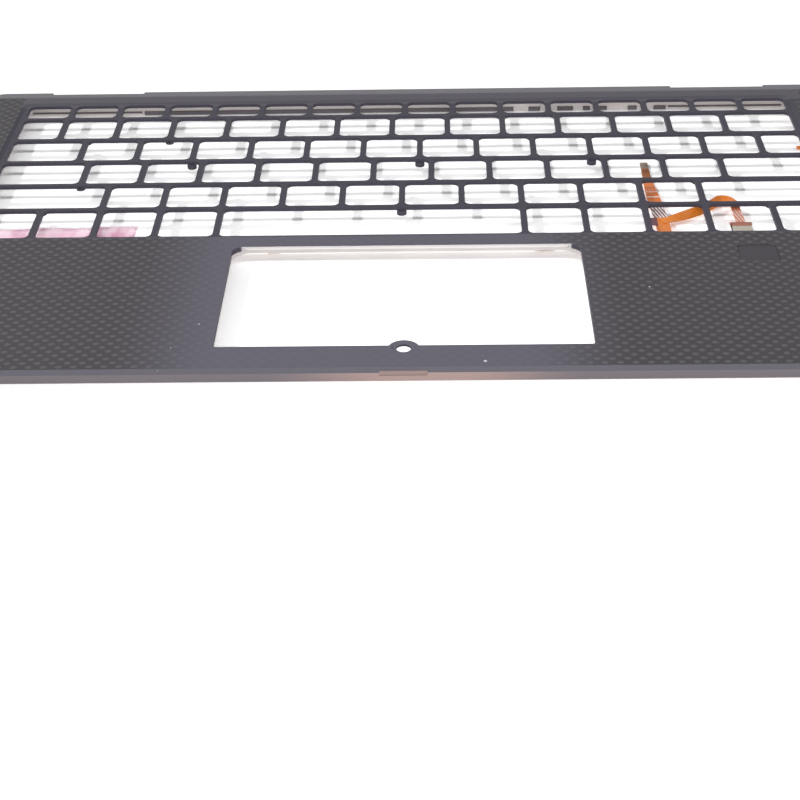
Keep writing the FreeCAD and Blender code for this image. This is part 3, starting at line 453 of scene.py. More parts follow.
class TrackEffect(Effect):
    """Copper tracks side by side under a film."""

    edge: ClassVar[Step] = (0.18, 0.32)

    def draw(self, graph: Graph, values: Dict[str, Socket]) -> Feeds:
        """Soft stripes across a coordinate.

        Args:
            graph: where the nodes go.
            values: the coordinate across, and the tracks' pitch.

        Returns:
            The mask.
        """
        phase = graph.math("FRACT", graph.math("DIVIDE", values["Across"], values["Pitch"]))
        return {"Mask": graph.between(graph.apart(phase, 0.5), *self.edge)}


BLACK: Colour = (0.02, 0.02, 0.02)
GREY: Colour = (0.04, 0.04, 0.04)
TONES = (("Dark", BLACK), ("Light", GREY))
WEAVE = WeaveEffect("Weave", (("Pitch", 2.05 * MM), *TONES), ("Color", "Mask", "Height"))
GRAIN = GrainEffect("Grain", (("Scale", 2500.0), *TONES), ("Color", "Height", "Tone"))
WEAR = WearEffect("EdgeWear", (("Radius", 0.12 * MM),), ("Mask",))
DUST = DustEffect("Dust", (("Scale", 90.0), ("Share", 0.012)), ("Mask",))
TRACKS = TrackEffect("Tracks", (("Across", 0.0), ("Pitch", 0.5 * MM)), ("Mask",))


@dataclass(frozen=True)
class Finish:
    """A surface finish that makes one material.

    Args:
        slot: the record's slot that it belongs to.
        base: the main colour.
        shade: a second colour that the main one drifts to.
        roughness: how dull the surface is.
        metallic: how metallic it is.
        specular: level of the plain gloss.
        grain: grains a metre.
        relief: depth of the grain.
        bump: how much of the relief shows.
        variant: tells it from other finishes of its slot.
    """

    slot: Slot
    base: Colour
    shade: Colour
    roughness: float = 0.5
    metallic: float = 0.0
    specular: float = 0.4
    grain: float = 2500.0
    relief: float = 0.02 * MM
    bump: float = 0.35
    variant: str = "look"

    def title(self) -> str:
        """The material's name, which is the slot's with the variant."""
        return f"{self.slot.value}_{self.variant}"

    def material(self) -> bpy.types.Material:
        """Build the material, or find it if it exists.

        Returns:
            The material.
        """
        known = bpy.data.materials.get(self.title())
        if known:
            return known
        material = bpy.data.materials.new(self.title())
        material.use_nodes = True
        graph = Graph(material.node_tree)
        feeds: Feeds = {
            "Roughness": self.roughness,
            "Metallic": self.metallic,
            "Specular IOR Level": self.specular,
        }
        feeds.update(self.paint(graph))
        graph.fill(material.node_tree.nodes["Principled BSDF"], feeds)
        return material

    def skin(self, graph: Graph) -> Outputs:
        """The grain under every finish."""
        return graph.group(GRAIN, Scale=self.grain, Dark=self.shade, Light=self.base)

    def paint(self, graph: Graph) -> Feeds:
        """Colour and relief of a plain moulded or coated skin.

        Args:
            graph: the material's nodes.

        Returns:
            What goes into the shader.
        """
        skin = self.skin(graph)
        return {"Base Color": skin["Color"], "Normal": graph.bump(skin["Height"], self.bump, self.relief)}


UPWARD: Step = (0.4, 0.6)
UPRIGHT: Step = (0.5, 0.3)
NOT_UPRIGHT: Step = UPRIGHT[::-1]
FRONT_EDGE: Step = mm(-96.0, -96.6)
FRONT_WALL: Step = (0.9, 0.99)
# Pale colour of the edge behind the touchpad: painted light standing in for light on that edge.
PAINTED_LIT_EDGE: Colour = (0.74, 0.71, 0.71)
PAD_REAR: Dict[str, Step] = {
    "across": mm(50.3, 49.3),
    "along": mm(-26.4, -26.2),
    "until": mm(-22.5, -22.7),
}


@dataclass(frozen=True)
class Region:
    """Part of a surface with a colour laid over it; a pair is where it ends and where it is full.

    Args:
        colour: its colour.
        across: distance from its centre along X.
        centre: that centre.
        along: place along Y.
        until: its far border along Y.
        height: place along Z.
        lean: how far its faces look up.
        upright: how far they look up or down.
        forward: how far they look to the front.
    """

    colour: Colour
    across: Optional[Step] = None
    centre: float = 0.0
    along: Optional[Step] = None
    until: Optional[Step] = None
    height: Optional[Step] = None
    lean: Optional[Step] = None
    upright: Optional[Step] = None
    forward: Optional[Step] = None

    def lay(self, graph: Graph, colour: Socket) -> Socket:
        """Put the region's colour over another.

        Args:
            graph: the material's nodes.
            colour: the colour so far.

        Returns:
            The colour with the region's.
        """
        x, y, z = graph.places
        upward = graph.facing(Axis.Z)
        judged = (
            (graph.apart(x, self.centre), self.across),
            (y, self.along),
            (y, self.until),
            (z, self.height),
            (upward, self.lean),
            (graph.apart(upward), self.upright),
            (graph.product(graph.facing(Axis.Y), -1.0), self.forward),
        )
        masks = [graph.between(value, *step) for value, step in judged if step]
        return graph.over(colour, self.colour, *masks)


@dataclass(frozen=True)
class CompositeFinish(Finish):
    """Soft-touch coat over woven carbon, plain on the web, the slopes and the edges.

    Cloth lies on level faces at its own height, and at any height on the strip in front of the
    touchpad; the bright lenses of its across-tows are painted highlights. It is faint about the
    middle's centre line, where a painted sheen colour takes its place, and full on the palm rests.
    The regions are laid over it in order: the strip along the hinges and the slope behind it; the
    upright walls of the openings, painted lighter to stand in for the front light on them; the edge
    behind the touchpad, painted pale to stand in for light on it; and the front bevel and wall,
    painted lighter as a painted sheen and a painted reflection of the floor, with a painted warm
    reflection in its middle. Chips are places and radii in millimetres.
    """

    bump: float = 0.2
    tow: float = 2.05 * MM
    tow_gloss: float = -0.06
    tow_height: float = 0.6
    grain_height: float = 0.35
    weave_dark: Colour = (0.041, 0.038, 0.042)
    # Colour of the painted highlight lenses on the across-tows.
    weave_highlight: Colour = (0.084, 0.079, 0.086)
    level: Step = (0.9985, 0.9995)
    cloth_height: Step = mm(4.94, 4.98)
    front_strip: Step = mm(-79.3, -80.3)
    # Painted sheen on the middle of the top face, where the weave fades out.
    middle: Colour = (0.104, 0.099, 0.126)
    sheen_centre: float = -9.0 * MM
    palm: Step = mm(40.0, 74.0)
    faint: float = 0.14
    regions: Tuple[Region, ...] = (
        Region((0.080, 0.075, 0.091), across=mm(138.5, 138.0), along=mm(84.0, 84.3), lean=UPWARD),
        Region((0.150, 0.145, 0.157), along=mm(92.3, 92.9), lean=UPWARD),
        # Upright walls painted lighter: painted light standing in for the front light on them.
        Region((0.066, 0.060, 0.082), upright=UPRIGHT),
        # The edge behind the touchpad and its top rim are painted pale: painted light.
        Region(PAINTED_LIT_EDGE, upright=UPRIGHT, **PAD_REAR),
        Region(PAINTED_LIT_EDGE, height=mm(4.9, 4.8), upright=NOT_UPRIGHT, **PAD_REAR),
        # Front bevel painted lighter as a painted sheen, front wall as a painted reflection of the bright
        # floor.
        Region((0.118, 0.113, 0.134), along=FRONT_EDGE, forward=(0.3, 0.5)),
        Region((0.170, 0.150, 0.165), along=FRONT_EDGE, forward=FRONT_WALL),
        # Warm middle of the front wall: a painted warm reflection.
        Region((0.38, 0.275, 0.252), mm(46.0, 6.0), 6.0 * MM, along=FRONT_EDGE, forward=FRONT_WALL),
    )
    worn: Colour = (0.16, 0.155, 0.17)
    worn_share: float = 0.4
    chips: Tuple[Tuple[float, float, float], ...] = (
        (-136.3, 54.7, 0.35),
        (22.1, -94.0, 0.55),
        (70.5, -53.2, 0.3),
        (-66.2, -97.4, 0.45),
        (-64.0, -85.6, 0.25),
        (-57.7, -72.5, 0.3),
    )
    chip: Colour = (0.62, 0.62, 0.64)
    chip_level: float = 5.0
    chip_soft: float = 0.3
    chip_grain: float = 1500.0
    chip_ragged: float = 0.5 * MM
    chip_height: Step = mm(4.2, 4.4)

    def paint(self, graph: Graph) -> Feeds:
        """Weave on the top face, plain coat elsewhere, edges, chips and wear.

        Args:
            graph: the material's nodes.

        Returns:
            What goes into the shader.
        """
        skin = self.skin(graph)
        weave = graph.group(WEAVE, Pitch=self.tow, Dark=self.weave_dark, Light=self.weave_highlight)
        woven, palm = self.woven(graph)
        # Near the centre line the painted sheen colour takes the weave's place.
        colour = graph.over(skin["Color"], graph.mix(palm, self.middle, weave["Color"]), woven)
        for region in self.regions:
            colour = region.lay(graph, colour)
        colour = graph.over(colour, self.worn, graph.group(WEAR)["Mask"], self.worn_share)
        colour = graph.over(colour, self.chip, graph.group(DUST)["Mask"], self.worn_share)
        colour = graph.over(colour, self.chip, self.chipped(graph))
        gloss = graph.product(weave["Mask"], woven, palm, self.tow_gloss)
        tows = graph.product(weave["Height"], woven, palm, self.tow_height)
        height = graph.math("ADD", tows, graph.product(skin["Height"], self.grain_height))
        return {
            "Base Color": colour,
            "Roughness": graph.math("ADD", gloss, self.roughness),
            "Normal": graph.bump(height, self.bump, self.relief),
        }

    def woven(self, graph: Graph) -> Tuple[Socket, Socket]:
        """Where the cloth is, and how clearly it shows.

        Args:
            graph: the material's nodes.

        Returns:
            Mask of the level top face, and the weave's share on it.
        """
        x, y, z = graph.places
        in_strip = graph.between(y, *self.front_strip)
        high = graph.math("MAXIMUM", graph.between(z, *self.cloth_height), in_strip)
        level = graph.between(graph.facing(Axis.Z), *self.level)
        # The weave fades towards the centre line, where the painted sheen shows.
        outward = graph.between(graph.apart(x, self.sheen_centre), *self.palm)
        share = graph.math("ADD", graph.product(outward, 1.0 - self.faint), self.faint)
        return graph.product(high, level), share

    def chipped(self, graph: Graph) -> Socket:
        """Mask of the pale chips.

        Args:
            graph: the material's nodes.

        Returns:
            The mask.
        """
        ragged = graph.product(graph.noise(graph.position, self.chip_grain), self.chip_ragged)
        total: Feed = 0.0
        for left, near, radius in self.chips:
            ends = {0: graph.position, 1: mm(left, near, self.chip_level)}
            distance = graph.node("ShaderNodeVectorMath", ends, operation="DISTANCE").outputs["Value"]
            border = mm(radius + self.chip_soft, radius)
            spot = graph.between(graph.math("ADD", distance, ragged), *border)
            total = graph.math("MAXIMUM", total, spot)
        return graph.product(total, graph.between(graph.places[Axis.Z.value], *self.chip_height))


@dataclass(frozen=True)
class MetalFinish(Finish):
    """Coated or bare metal with faint clouds, rubbed edges and a fine grain.

    Args:
        worn: colour of the rubbed edges.
        drift: how far the roughness changes from cloud to cloud.
    """

    bump: float = 0.4
    worn: Colour = (0.75, 0.73, 0.70)
    drift: float = 0.16

    def paint(self, graph: Graph) -> Feeds:
        """Grain, tone, and bright rubbed edges.

        Args:
            graph: the material's nodes.

        Returns:
            What goes into the shader.
        """
        feeds = super().paint(graph)
        skin = feeds["Base Color"].node.outputs
        feeds["Base Color"] = graph.over(skin["Color"], self.worn, graph.group(WEAR)["Mask"])
        cloudy = graph.product(graph.math("SUBTRACT", skin["Tone"], 0.5), self.drift)
        feeds["Roughness"] = graph.math("ADD", cloudy, self.roughness)
        return feeds


@dataclass(frozen=True)
class SocketFinish(Finish):
    """Moulded connector whose rear strip is the flap's colour.

    Args:
        flap: the flap's colour.
        flap_from: where the flap starts along Y.
        ridge_pitch: pitch of the body's fine ridges.
        ridge_share: how clearly they show.
    """

    flap: Colour = (0.29, 0.105, 0.068)
    flap_from: Step = mm(-11.6, -11.4)
    ridge_pitch: float = 0.9 * MM
    ridge_share: float = 0.35

    def paint(self, graph: Graph) -> Feeds:
        """Plain skin with fine ridges, and the flap's strip.

        Args:
            graph: the material's nodes.

        Returns:
            What goes into the shader.
        """
        feeds = super().paint(graph)
        _, y, _ = graph.places
        ridges = graph.group(TRACKS, Across=y, Pitch=self.ridge_pitch)["Mask"]
        lined = graph.over(feeds["Base Color"], self.shade, ridges, self.ridge_share)
        feeds["Base Color"] = graph.over(lined, self.flap, graph.between(y, *self.flap_from))
        return feeds


@dataclass(frozen=True)
class RibbonFinish(Finish):
    """Amber film over copper tracks, by the ribbon's own coordinates.

    The film drifts to its far colour along the ribbon. Bare tinned tracks lean across it by the
    slant. Bare stretches, thin pale marks, glinting stretches and the stiffened dark end are spans
    along the ribbon, each with a softness and a share. The coat is a weight and a roughness.
    """

    bump: float = 0.25
    pitch: float = 0.62 * MM
    track_share: float = 0.45
    copper: Colour = (0.54, 0.115, 0.012)
    far: Colour = (0.44, 0.125, 0.06)
    drift: Step = mm(29.0, 33.0)
    line_pitch: float = 1.05 * MM
    slant: float = 0.22
    pale: Colour = (0.86, 0.82, 0.82)
    gap: Colour = (0.24, 0.075, 0.06)
    bare: Tuple[Step, ...] = ()
    bare_soft: float = 0.4 * MM
    marks: Tuple[Step, ...] = ()
    mark_soft: float = 0.2 * MM
    mark_share: float = 0.8
    shine: Tuple[Step, ...] = ()
    shine_soft: float = 2.5 * MM
    shine_share: float = 0.5
    stiff: Step = mm(1000.0, 1002.0)
    stiff_colour: Colour = (0.20, 0.095, 0.055)
    coat: Step = (0.12, 0.2)

    def paint(self, graph: Graph) -> Feeds:
        """Tracks along the ribbon, bare stretches, marks and a dark end.

        Args:
            graph: the material's nodes.

        Returns:
            What goes into the shader.
        """
        chart = graph.node("ShaderNodeUVMap", uv_map="ribbon")
        across, along, _ = graph.parts(chart.outputs[0])
        colour = graph.over(self.skin(graph)["Color"], self.far, graph.between(along, *self.drift))
        tracks = graph.group(TRACKS, Across=across, Pitch=self.pitch)["Mask"]
        colour = graph.over(colour, self.copper, tracks, self.track_share)
        slanted = graph.math("ADD", across, graph.product(along, self.slant))
        lines = graph.group(TRACKS, Across=slanted, Pitch=self.line_pitch)["Mask"]
        tinned = graph.mix(lines, self.pale, self.gap)
        for span in self.bare:
            colour = graph.over(colour, tinned, graph.band(along, span, self.bare_soft))
        for span in self.marks:
            stripe = graph.band(along, span, self.mark_soft)
            colour = graph.over(colour, self.pale, stripe, self.mark_share)
        for span in self.shine:
            glint = graph.band(along, span, self.shine_soft)
            colour = graph.over(colour, self.pale, glint, graph.opposite(lines), self.shine_share)
        end = graph.between(along, *self.stiff)
        coat_weight, coat_roughness = self.coat
        return {
            "Base Color": graph.over(colour, self.stiff_colour, end, self.mark_share),
            "Normal": graph.bump(tracks, self.bump, self.relief),
            "Coat Weight": coat_weight,
            "Coat Roughness": coat_roughness,
        }


@dataclass(frozen=True)
class FilmFinish(Finish):
    """Thin tinted release film that the floor shows through.

    Slanting streaks add to the cover, which is how much of what is behind it the film hides.
    """

    relief: float = 0.1 * MM
    bump: float = 0.3
    cover: float = 0.34
    streak: Colour = (0.66, 0.26, 0.42)
    streak_cover: float = 0.12
    streak_edge: Step = (0.42, 0.68)
    streak_scale: float = 220.0
    slant: float = 55.0
    squeeze: float = 0.25

    def paint(self, graph: Graph) -> Feeds:
        """Tint in soft slanting streaks, see-through.

        Args:
            graph: the material's nodes.

        Returns:
            What goes into the shader.
        """
        turned = {
            "Vector": graph.position,
            "Rotation": (0.0, 0.0, math.radians(self.slant)),
            "Scale": (1.0, self.squeeze, 1.0),
        }
        stretched = graph.node("ShaderNodeMapping", turned).outputs[0]
        streaks = graph.between(graph.noise(stretched, self.streak_scale), *self.streak_edge)
        return {
            "Base Color": graph.over(self.skin(graph)["Color"], self.streak, streaks),
            "Alpha": graph.math("ADD", graph.product(streaks, self.streak_cover), self.cover),
            "Normal": graph.bump(streaks, self.bump, self.relief),
        }


COMPOSITE = CompositeFinish(
    Slot.COMPOSITE, (0.043, 0.039, 0.054), (0.037, 0.0335, 0.047), roughness=0.58, specular=0.16
)
MAGNESIUM = MetalFinish(
    Slot.MAGNESIUM, (0.63, 0.585, 0.57), (0.56, 0.52, 0.505), metallic=0.4, grain=1800.0
)
BRASS = MetalFinish(Slot.INSERT, (0.72, 0.52, 0.24), (0.58, 0.40, 0.17), roughness=0.35, metallic=1.0)
DARK_BRASS = MetalFinish(
    Slot.INSERT,
    (0.060, 0.050, 0.046),
    (0.040, 0.035, 0.034),
    metallic=0.6,
    variant="black",
    worn=(0.12, 0.10, 0.08),
)
TILE = Finish(Slot.SENSOR, (0.046, 0.043, 0.049), (0.041, 0.038, 0.044), roughness=0.6, specular=0.16)
BOARD = Finish(Slot.BOARD, (0.030, 0.060, 0.040), (0.022, 0.045, 0.030), roughness=0.4)
SPRING = MetalFinish(Slot.SPRING, (0.55, 0.55, 0.56), (0.45, 0.45, 0.46), roughness=0.35, metallic=1.0)
SOCKET = SocketFinish(Slot.CONNECTOR, (0.50, 0.46, 0.39), (0.40, 0.365, 0.305))
LATCH = Finish(Slot.LATCH, (0.27, 0.095, 0.062), (0.22, 0.08, 0.052), roughness=0.45)
AMBER = RibbonFinish(
    Slot.POLYIMIDE,
    (0.72, 0.235, 0.026),
    (0.65, 0.185, 0.020),
    roughness=0.34,
    specular=0.2,
    shine=(mm(37.8, 43.2),),
)
TAIL_AMBER = RibbonFinish(
    Slot.POLYIMIDE,
    (0.70, 0.20, 0.018),
    (0.62, 0.165, 0.015),
    roughness=0.34,
    specular=0.2,
    variant="tail",
    far=(0.66, 0.165, 0.022),
    bare=(mm(20.8, 30.5),),
    marks=(mm(36.8, 37.5), mm(41.3, 41.6)),
    stiff=mm(50.0, 52.0),
)
CONTACTS = MetalFinish(
    Slot.CONTACTS, (0.52, 0.42, 0.34), (0.17, 0.11, 0.085), roughness=0.4, metallic=0.3, grain=900.0
)
TAPE = Finish(Slot.TAPE, (0.15, 0.045, 0.07), (0.11, 0.03, 0.05), roughness=0.4)
FOAM = Finish(
    Slot.FOAM, (0.15, 0.135, 0.145), (0.11, 0.10, 0.107), roughness=0.9, grain=1800.0, relief=0.2 * MM
)
FILM = FilmFinish(Slot.FILM, (0.90, 0.60, 0.72), (0.88, 0.54, 0.68), roughness=0.55, specular=0.15)
# Pale colour of the touchpad seal: painted light standing in for the lit frame wall.
SEAL = Finish(
    Slot.MAGNESIUM, (0.84, 0.81, 0.81), (0.79, 0.76, 0.76), roughness=0.6, specular=0.2, variant="seal"
)
GUIDE = Finish(Slot.GUIDE, (0.31, 0.222, 0.205), (0.295, 0.212, 0.195), roughness=0.4, specular=0.2)


@dataclass
class Dressed:
    """Base of the sub-assemblies: gives solids of the frame their finishes.

    Each sub-assembly lists its coats: a finish, and the solids that it goes on.
    """

    coats = ()
    frame: dict

    def dress(self) -> None:
        """Give each of the sub-assembly's solids its finish."""
        for finish, names in self.coats:
            for name in names:
                materials = self.frame["nodes"][name].data.materials
                materials.clear()
                materials.append(finish.material())
                LOG.info("dressed %s as %s", name, finish.title())


@dataclass
class Deck(Dressed):
    """The moulded deck and the light guide in its front edge."""

    coats = ((COMPOSITE, ("deck_panel",)), (GUIDE, ("status_light_guide",)))


@dataclass
class Stiffeners(Dressed):
    """The bonded metal frame and rails with their inserts; the small ones in the web are blackened."""

    coats = (
        (MAGNESIUM, ("palm_frame", "rear_rail", "side_rail_left", "side_rail_right")),
        (BRASS, ("case_inserts", "hinge_inserts", "touchpad_inserts")),
        (DARK_BRASS, ("keyboard_inserts",)),
    )


@dataclass
class FingerprintReader(Dressed):
    """The sensor tile with its board, clamp and connector."""

    coats = (
        (TILE, ("fingerprint_sensor",)),
        (BOARD, ("sensor_board",)),
        (SPRING, ("sensor_bracket", "bracket_screws")),
        (SOCKET, ("sensor_connector",)),
        (LATCH, ("connector_latch",)),
    )


@dataclass
class RearSeals(Dressed):
    """Foam on the rear rail's wall."""

    coats = ((FOAM, ("rear_gasket", "gasket_blocks")),)


@dataclass
class PadSeal:
    """Pale strip on the frame's top face, behind the touchpad opening's thinned edge.

    Its long edges are bevelled, and its ends slant by the taper. Its pale colour is painted light
    that stands in for the lit frame wall, and it covers the shade in the slot.
    """

    half: float = 49.15 * MM
    front: float = -24.9 * MM
    depth: float = 0.9 * MM
    low: float = 3.5 * MM
    high: float = 4.44 * MM
    edge: float = 0.12 * MM
    taper: float = 0.1 * MM

    def profile(self) -> List[Tuple[float, float]]:
        """The strip's section.

        Returns:
            Points of Y and Z, round the section.
        """
        rear = self.front + self.depth
        return [
            (self.front, self.low),
            (self.front, self.high - self.edge),
            (self.front + self.edge, self.high),
            (rear - self.edge, self.high),
            (rear, self.high - self.edge),
            (rear, self.low),
        ]

    def build(self) -> None:
        """Sweep the section along the opening, with slanted ends."""
        section = self.profile()
        count = len(section)
        tall = self.high - self.low
        vertices: List[Point] = []
        for end in (-1, 1):
            for y, z in section:
                vertices.append((end * (self.half - self.taper * (z - self.low) / tall), y, z))
        faces: List[Face] = [tuple(range(count)), tuple(range(2 * count - 1, count - 1, -1))]
        for side in range(count):
            following = (side + 1) % count
            faces.append((following, side, side + count, following + count))
        piece = shape("pad_seal", vertices, faces, SEAL.material())
        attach(piece, "root")
        LOG.info("laid the touchpad seal")


@dataclass(frozen=True)
class Station:
    """One point of a ribbon's route.

    Args:
        place: millimetres from the route's origin.
        width: the ribbon's width there, in millimetres.
        bank: degrees that its right edge, looking along it, hangs down.
    """

    place: Point
    width: float
    bank: float = 0.0


@dataclass
class Ribbon:
    """A flat loose ribbon along a given route.

    Args:
        name: the piece's name.
        node: the solid it stands for.
        stations: its route.
        origin: where the route is measured from.
        thickness: through the ribbon.
        length: its real length; not used.
        finish: its finish.
        samples: points for each station.
        order: how far a station pulls on the line.
    """

    name: str
    node: str
    stations: Tuple[Station, ...]
    origin: Point
    thickness: float
    length: float
    finish: Finish
    samples: int = 16
    order: int = 3

    def width(self) -> float:
        """The ribbon's cut width, which it has at its exit."""
        return self.stations[0].width * MM

    def centreline(self) -> List[Vector]:
        """Points along the smooth line that the route's points control.

        Returns:
            The points, from the exit to the far end.
        """
        curve = bpy.data.curves.new(self.name + "_route", "CURVE")
        curve.dimensions = "3D"
        curve.resolution_u = self.samples
        spline = curve.splines.new("NURBS")
        spline.points.add(len(self.stations) - 1)
        for point, station in zip(spline.points, self.stations):
            point.co = (*(Vector(self.origin) + Vector(station.place) * MM), 1.0)
        spline.order_u = self.order
        spline.use_endpoint_u = True
        carrier = bpy.data.objects.new(self.name + "_route", curve)
        mesh = bpy.data.meshes.new_from_object(carrier)
        line = [vertex.co.copy() for vertex in mesh.vertices]
        bpy.data.objects.remove(carrier)
        bpy.data.curves.remove(curve)
        bpy.data.meshes.remove(mesh)
        return line

    def shape_at(self, share: float) -> Tuple[float, float]:
        """Width and bank part of the way along.

        Args:
            share: 0 at the exit and 1 at the far end.

        Returns:
            The width in metres and the bank in radians.
        """
        step = share * (len(self.stations) - 1)
        index = min(int(step), len(self.stations) - 2)
        rest = step - index
        here, following = self.stations[index : index + 2]
        width = here.width + (following.width - here.width) * rest
        bank = here.bank + (following.bank - here.bank) * rest
        return width * MM, math.radians(bank)

    def build(self, line: Sequence[Vector]) -> bpy.types.Object:
        """A closed strip swept along the centreline, with its own chart.

        Args:
            line: the centreline.

        Returns:
            The ribbon.
        """
        last = len(line) - 1
        rise = self.thickness / 2
        vertices: List[Vector] = []
        chart_at: List[Tuple[float, float]] = []
        run = 0.0
        for index, point in enumerate(line):
            heading = (line[min(index + 1, last)] - line[max(index - 1, 0)]).normalized()
            width, bank = self.shape_at(index / last)
            level = heading.cross(Vector((0, 0, 1))).normalized()
            across = Matrix.Rotation(bank, 3, heading) @ level
            upward = across.cross(heading)
            if index:
                run += (point - line[index - 1]).length
            for side, lift in SECTION:
                vertices.append(point + across * (side * width / 2) + upward * (lift * rise))
                chart_at.append((side * width / 2 + self.width() / 2, run))
        count = len(SECTION)
        faces: List[Face] = [tuple(range(count - 1, -1, -1))]
        for base in range(0, count * last, count):
            ring = [(base + side, base + (side + 1) % count) for side in range(count)]
            faces.extend((here, beside, beside + count, here + count) for here, beside in ring)
        faces.append(tuple(range(count * last, count * last + count)))
        piece = shape(self.name, vertices, faces, self.finish.material())
        chart = piece.data.uv_layers.new(name="ribbon")
        for loop in piece.data.loops:
            chart.data[loop.index].uv = chart_at[loop.vertex_index]
        return piece

    def lay(self, far_end: str, fittings: Sequence[bpy.types.Object]) -> None:
        """Args:
            far_end: what is on its far end; not used.
            fittings: the separate pieces on it; not used.
        """
        line = self.centreline()
        piece = self.build(line)
        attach(piece, "root")
        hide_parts(self.node)
        self.width()
        LOG.info("laid %s", self.name)


@dataclass
class FlexRibbons(Dressed):
    """The sensor's loose ribbons with their fittings: the long tail, and the branch to the connector.

    Args:
        origin: the reader's centre line, the keyboard's front edge and the floor.
        thickness: of both ribbons.
        tail_length: real length of the tail.
        branch_length: real length of the branch.
        tail: the tail's route from its anchor to its tip.
        branch: the branch's route from the tail to the connector.
    """

    coats = (
        (TAIL_AMBER, ("flex_anchor", "button_flex")),
        (CONTACTS, ("tail_contacts",)),
        (TAPE, ("flex_tape",)),
    )
    origin: Point = mm(105.1, -17.4, 0.0)
    thickness: float = 0.25 * MM
    tail_length: float = 60.9 * MM
    branch_length: float = 45.5 * MM
    tail: Tuple[Station, ...] = (
        Station((-25.50, -6.60, 2.25), 4.3),
        Station((-25.50, 4.40, 2.25), 4.3),
        Station((-25.80, 14.90, 2.25), 4.3),
        Station((-26.30, 29.40, 1.55), 4.3),
        Station((-26.60, 40.90, 0.80), 3.5),
        Station((-26.50, 48.90, 0.45), 2.9),
        Station((-26.50, 54.20, 0.45), 2.6),
    )
    branch: Tuple[Station, ...] = (
        Station((-25.70, 11.00, 2.50), 2.8),
        Station((-21.30, 13.40, 2.40), 3.1, 30.0),
        Station((-16.30, 16.70, 2.25), 3.1, 54.0),
        Station((-11.50, 20.10, 2.22), 3.1, 56.0),
        Station((-7.90, 23.80, 2.25), 3.1, 52.0),
        Station((-6.00, 26.10, 2.40), 3.0, 40.0),
        Station((-3.80, 26.40, 2.62), 2.8, 20.0),
        Station((-2.00, 24.60, 2.88), 2.8),
        Station((-1.70, 21.40, 2.90), 2.8),
        Station((-1.75, 17.40, 2.88), 2.8),
        Station((-1.55, 12.80, 2.80), 2.8),
        Station((-1.55, 8.80, 2.80), 2.8),
    )

    def build(self) -> None:
        nodes = self.frame["nodes"]
        laid = (self.origin, self.thickness)
        tail = Ribbon("flex_tail", "main_flex", self.tail, *laid, self.tail_length, TAIL_AMBER)
        tail.lay("connector", [nodes["tail_contacts"], nodes["flex_tape"]])
        branch = Ribbon("flex_branch", "branch_flex", self.branch, *laid, self.branch_length, AMBER)
        branch.lay("object", [])


@dataclass
class ReleaseFilm:
    """Thin film that sticks out from under the left palm rest, with a slack wavy edge.

    It is bonded from its front to its hem. The free edge runs from rear_left to rear_right with
    ripples, each a depth and its radians along the film, and it droops and waves up and down.
    """

    left: float = -133.0 * MM
    right: float = -84.6 * MM
    front: float = -40.2 * MM
    hem: float = -18.2 * MM
    rear_left: float = -6.0 * MM
    rear_right: float = -4.8 * MM
    ripples: Tuple[Step, ...] = ((0.2 * MM, 9.0), (0.12 * MM, 31.0))
    top: float = 2.5 * MM
    droop: float = 0.5 * MM
    wave: float = 0.18 * MM
    wave_turns: Step = (14.0, 2.0)
    thickness: float = 0.2 * MM
    columns: int = 48
    rows: int = 36

    def spot(self, column: int, row: int) -> Vector:
        """One point of the film's upper face.

        Args:
            column: from 0 at the left.
            row: from 0 at the front.

        Returns:
            The point.
        """
        across = column / self.columns
        along = row / self.rows
        ripple = sum(depth * math.sin(turns * across) for depth, turns in self.ripples)
        rear = self.rear_left + (self.rear_right - self.rear_left) * across - abs(ripple)
        x = self.left + (self.right - self.left) * across
        y = self.front + (rear - self.front) * along
        loose = max(0.0, (y - self.hem) / (self.rear_right - self.hem))
        phase = self.wave_turns[0] * across + self.wave_turns[1] * along
        sway = self.wave * loose * math.sin(phase)
        return Vector((x, y, self.top - self.droop * loose**2 - self.wave * loose + sway))

    def build(self) -> None:
        """A closed thin sheet that stands for the solid film."""
        stride = self.rows + 1
        upper = [self.spot(column, row) for column in range(self.columns + 1) for row in range(stride)]
        count = len(upper)
        vertices = upper + [point - Vector((0, 0, self.thickness)) for point in upper]
        faces: List[Face] = []
        for column in range(self.columns):
            for row in range(self.rows):
                corner = column * stride + row
                ring = (corner, corner + stride, corner + stride + 1, corner + 1)
                faces.append(ring)
                faces.append(tuple(index + count for index in ring[::-1]))
        rim = [column * stride for column in range(self.columns + 1)]
        rim += [self.columns * stride + row for row in range(1, stride)]
        rim += [column * stride + self.rows for column in range(self.columns - 1, -1, -1)]
        rim += list(range(self.rows - 1, 0, -1))
        for here, following in zip(rim, rim[1:] + rim[:1]):
            faces.append((following, here, here + count, following + count))
        piece = shape("release_film", vertices, faces, FILM.material())
        piece.data.shade_smooth()
        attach(piece, "root")
        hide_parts("liner_film")
        LOG.info("laid the release film")


@dataclass(frozen=True)
class Lamp:
    """One soft lamp far from the part.

    Args:
        name: its name.
        direction: from the part towards it.
        level: the share of a plain white floor's brightness that it gives.
        spread: how wide it looks, in degrees.
    """

    name: str
    direction: Point
    level: float
    spread: float

    def hang(self) -> None:
        """Put the lamp in the scene."""
        data = bpy.data.lights.new(self.name, "SUN")
        towards = Vector(self.direction).normalized()
        data.energy = self.level * math.pi / abs(towards.z)
        data.angle = math.radians(self.spread)
        put(self.name, data).matrix_world = towards.to_track_quat("Z", "Y").to_matrix().to_4x4()


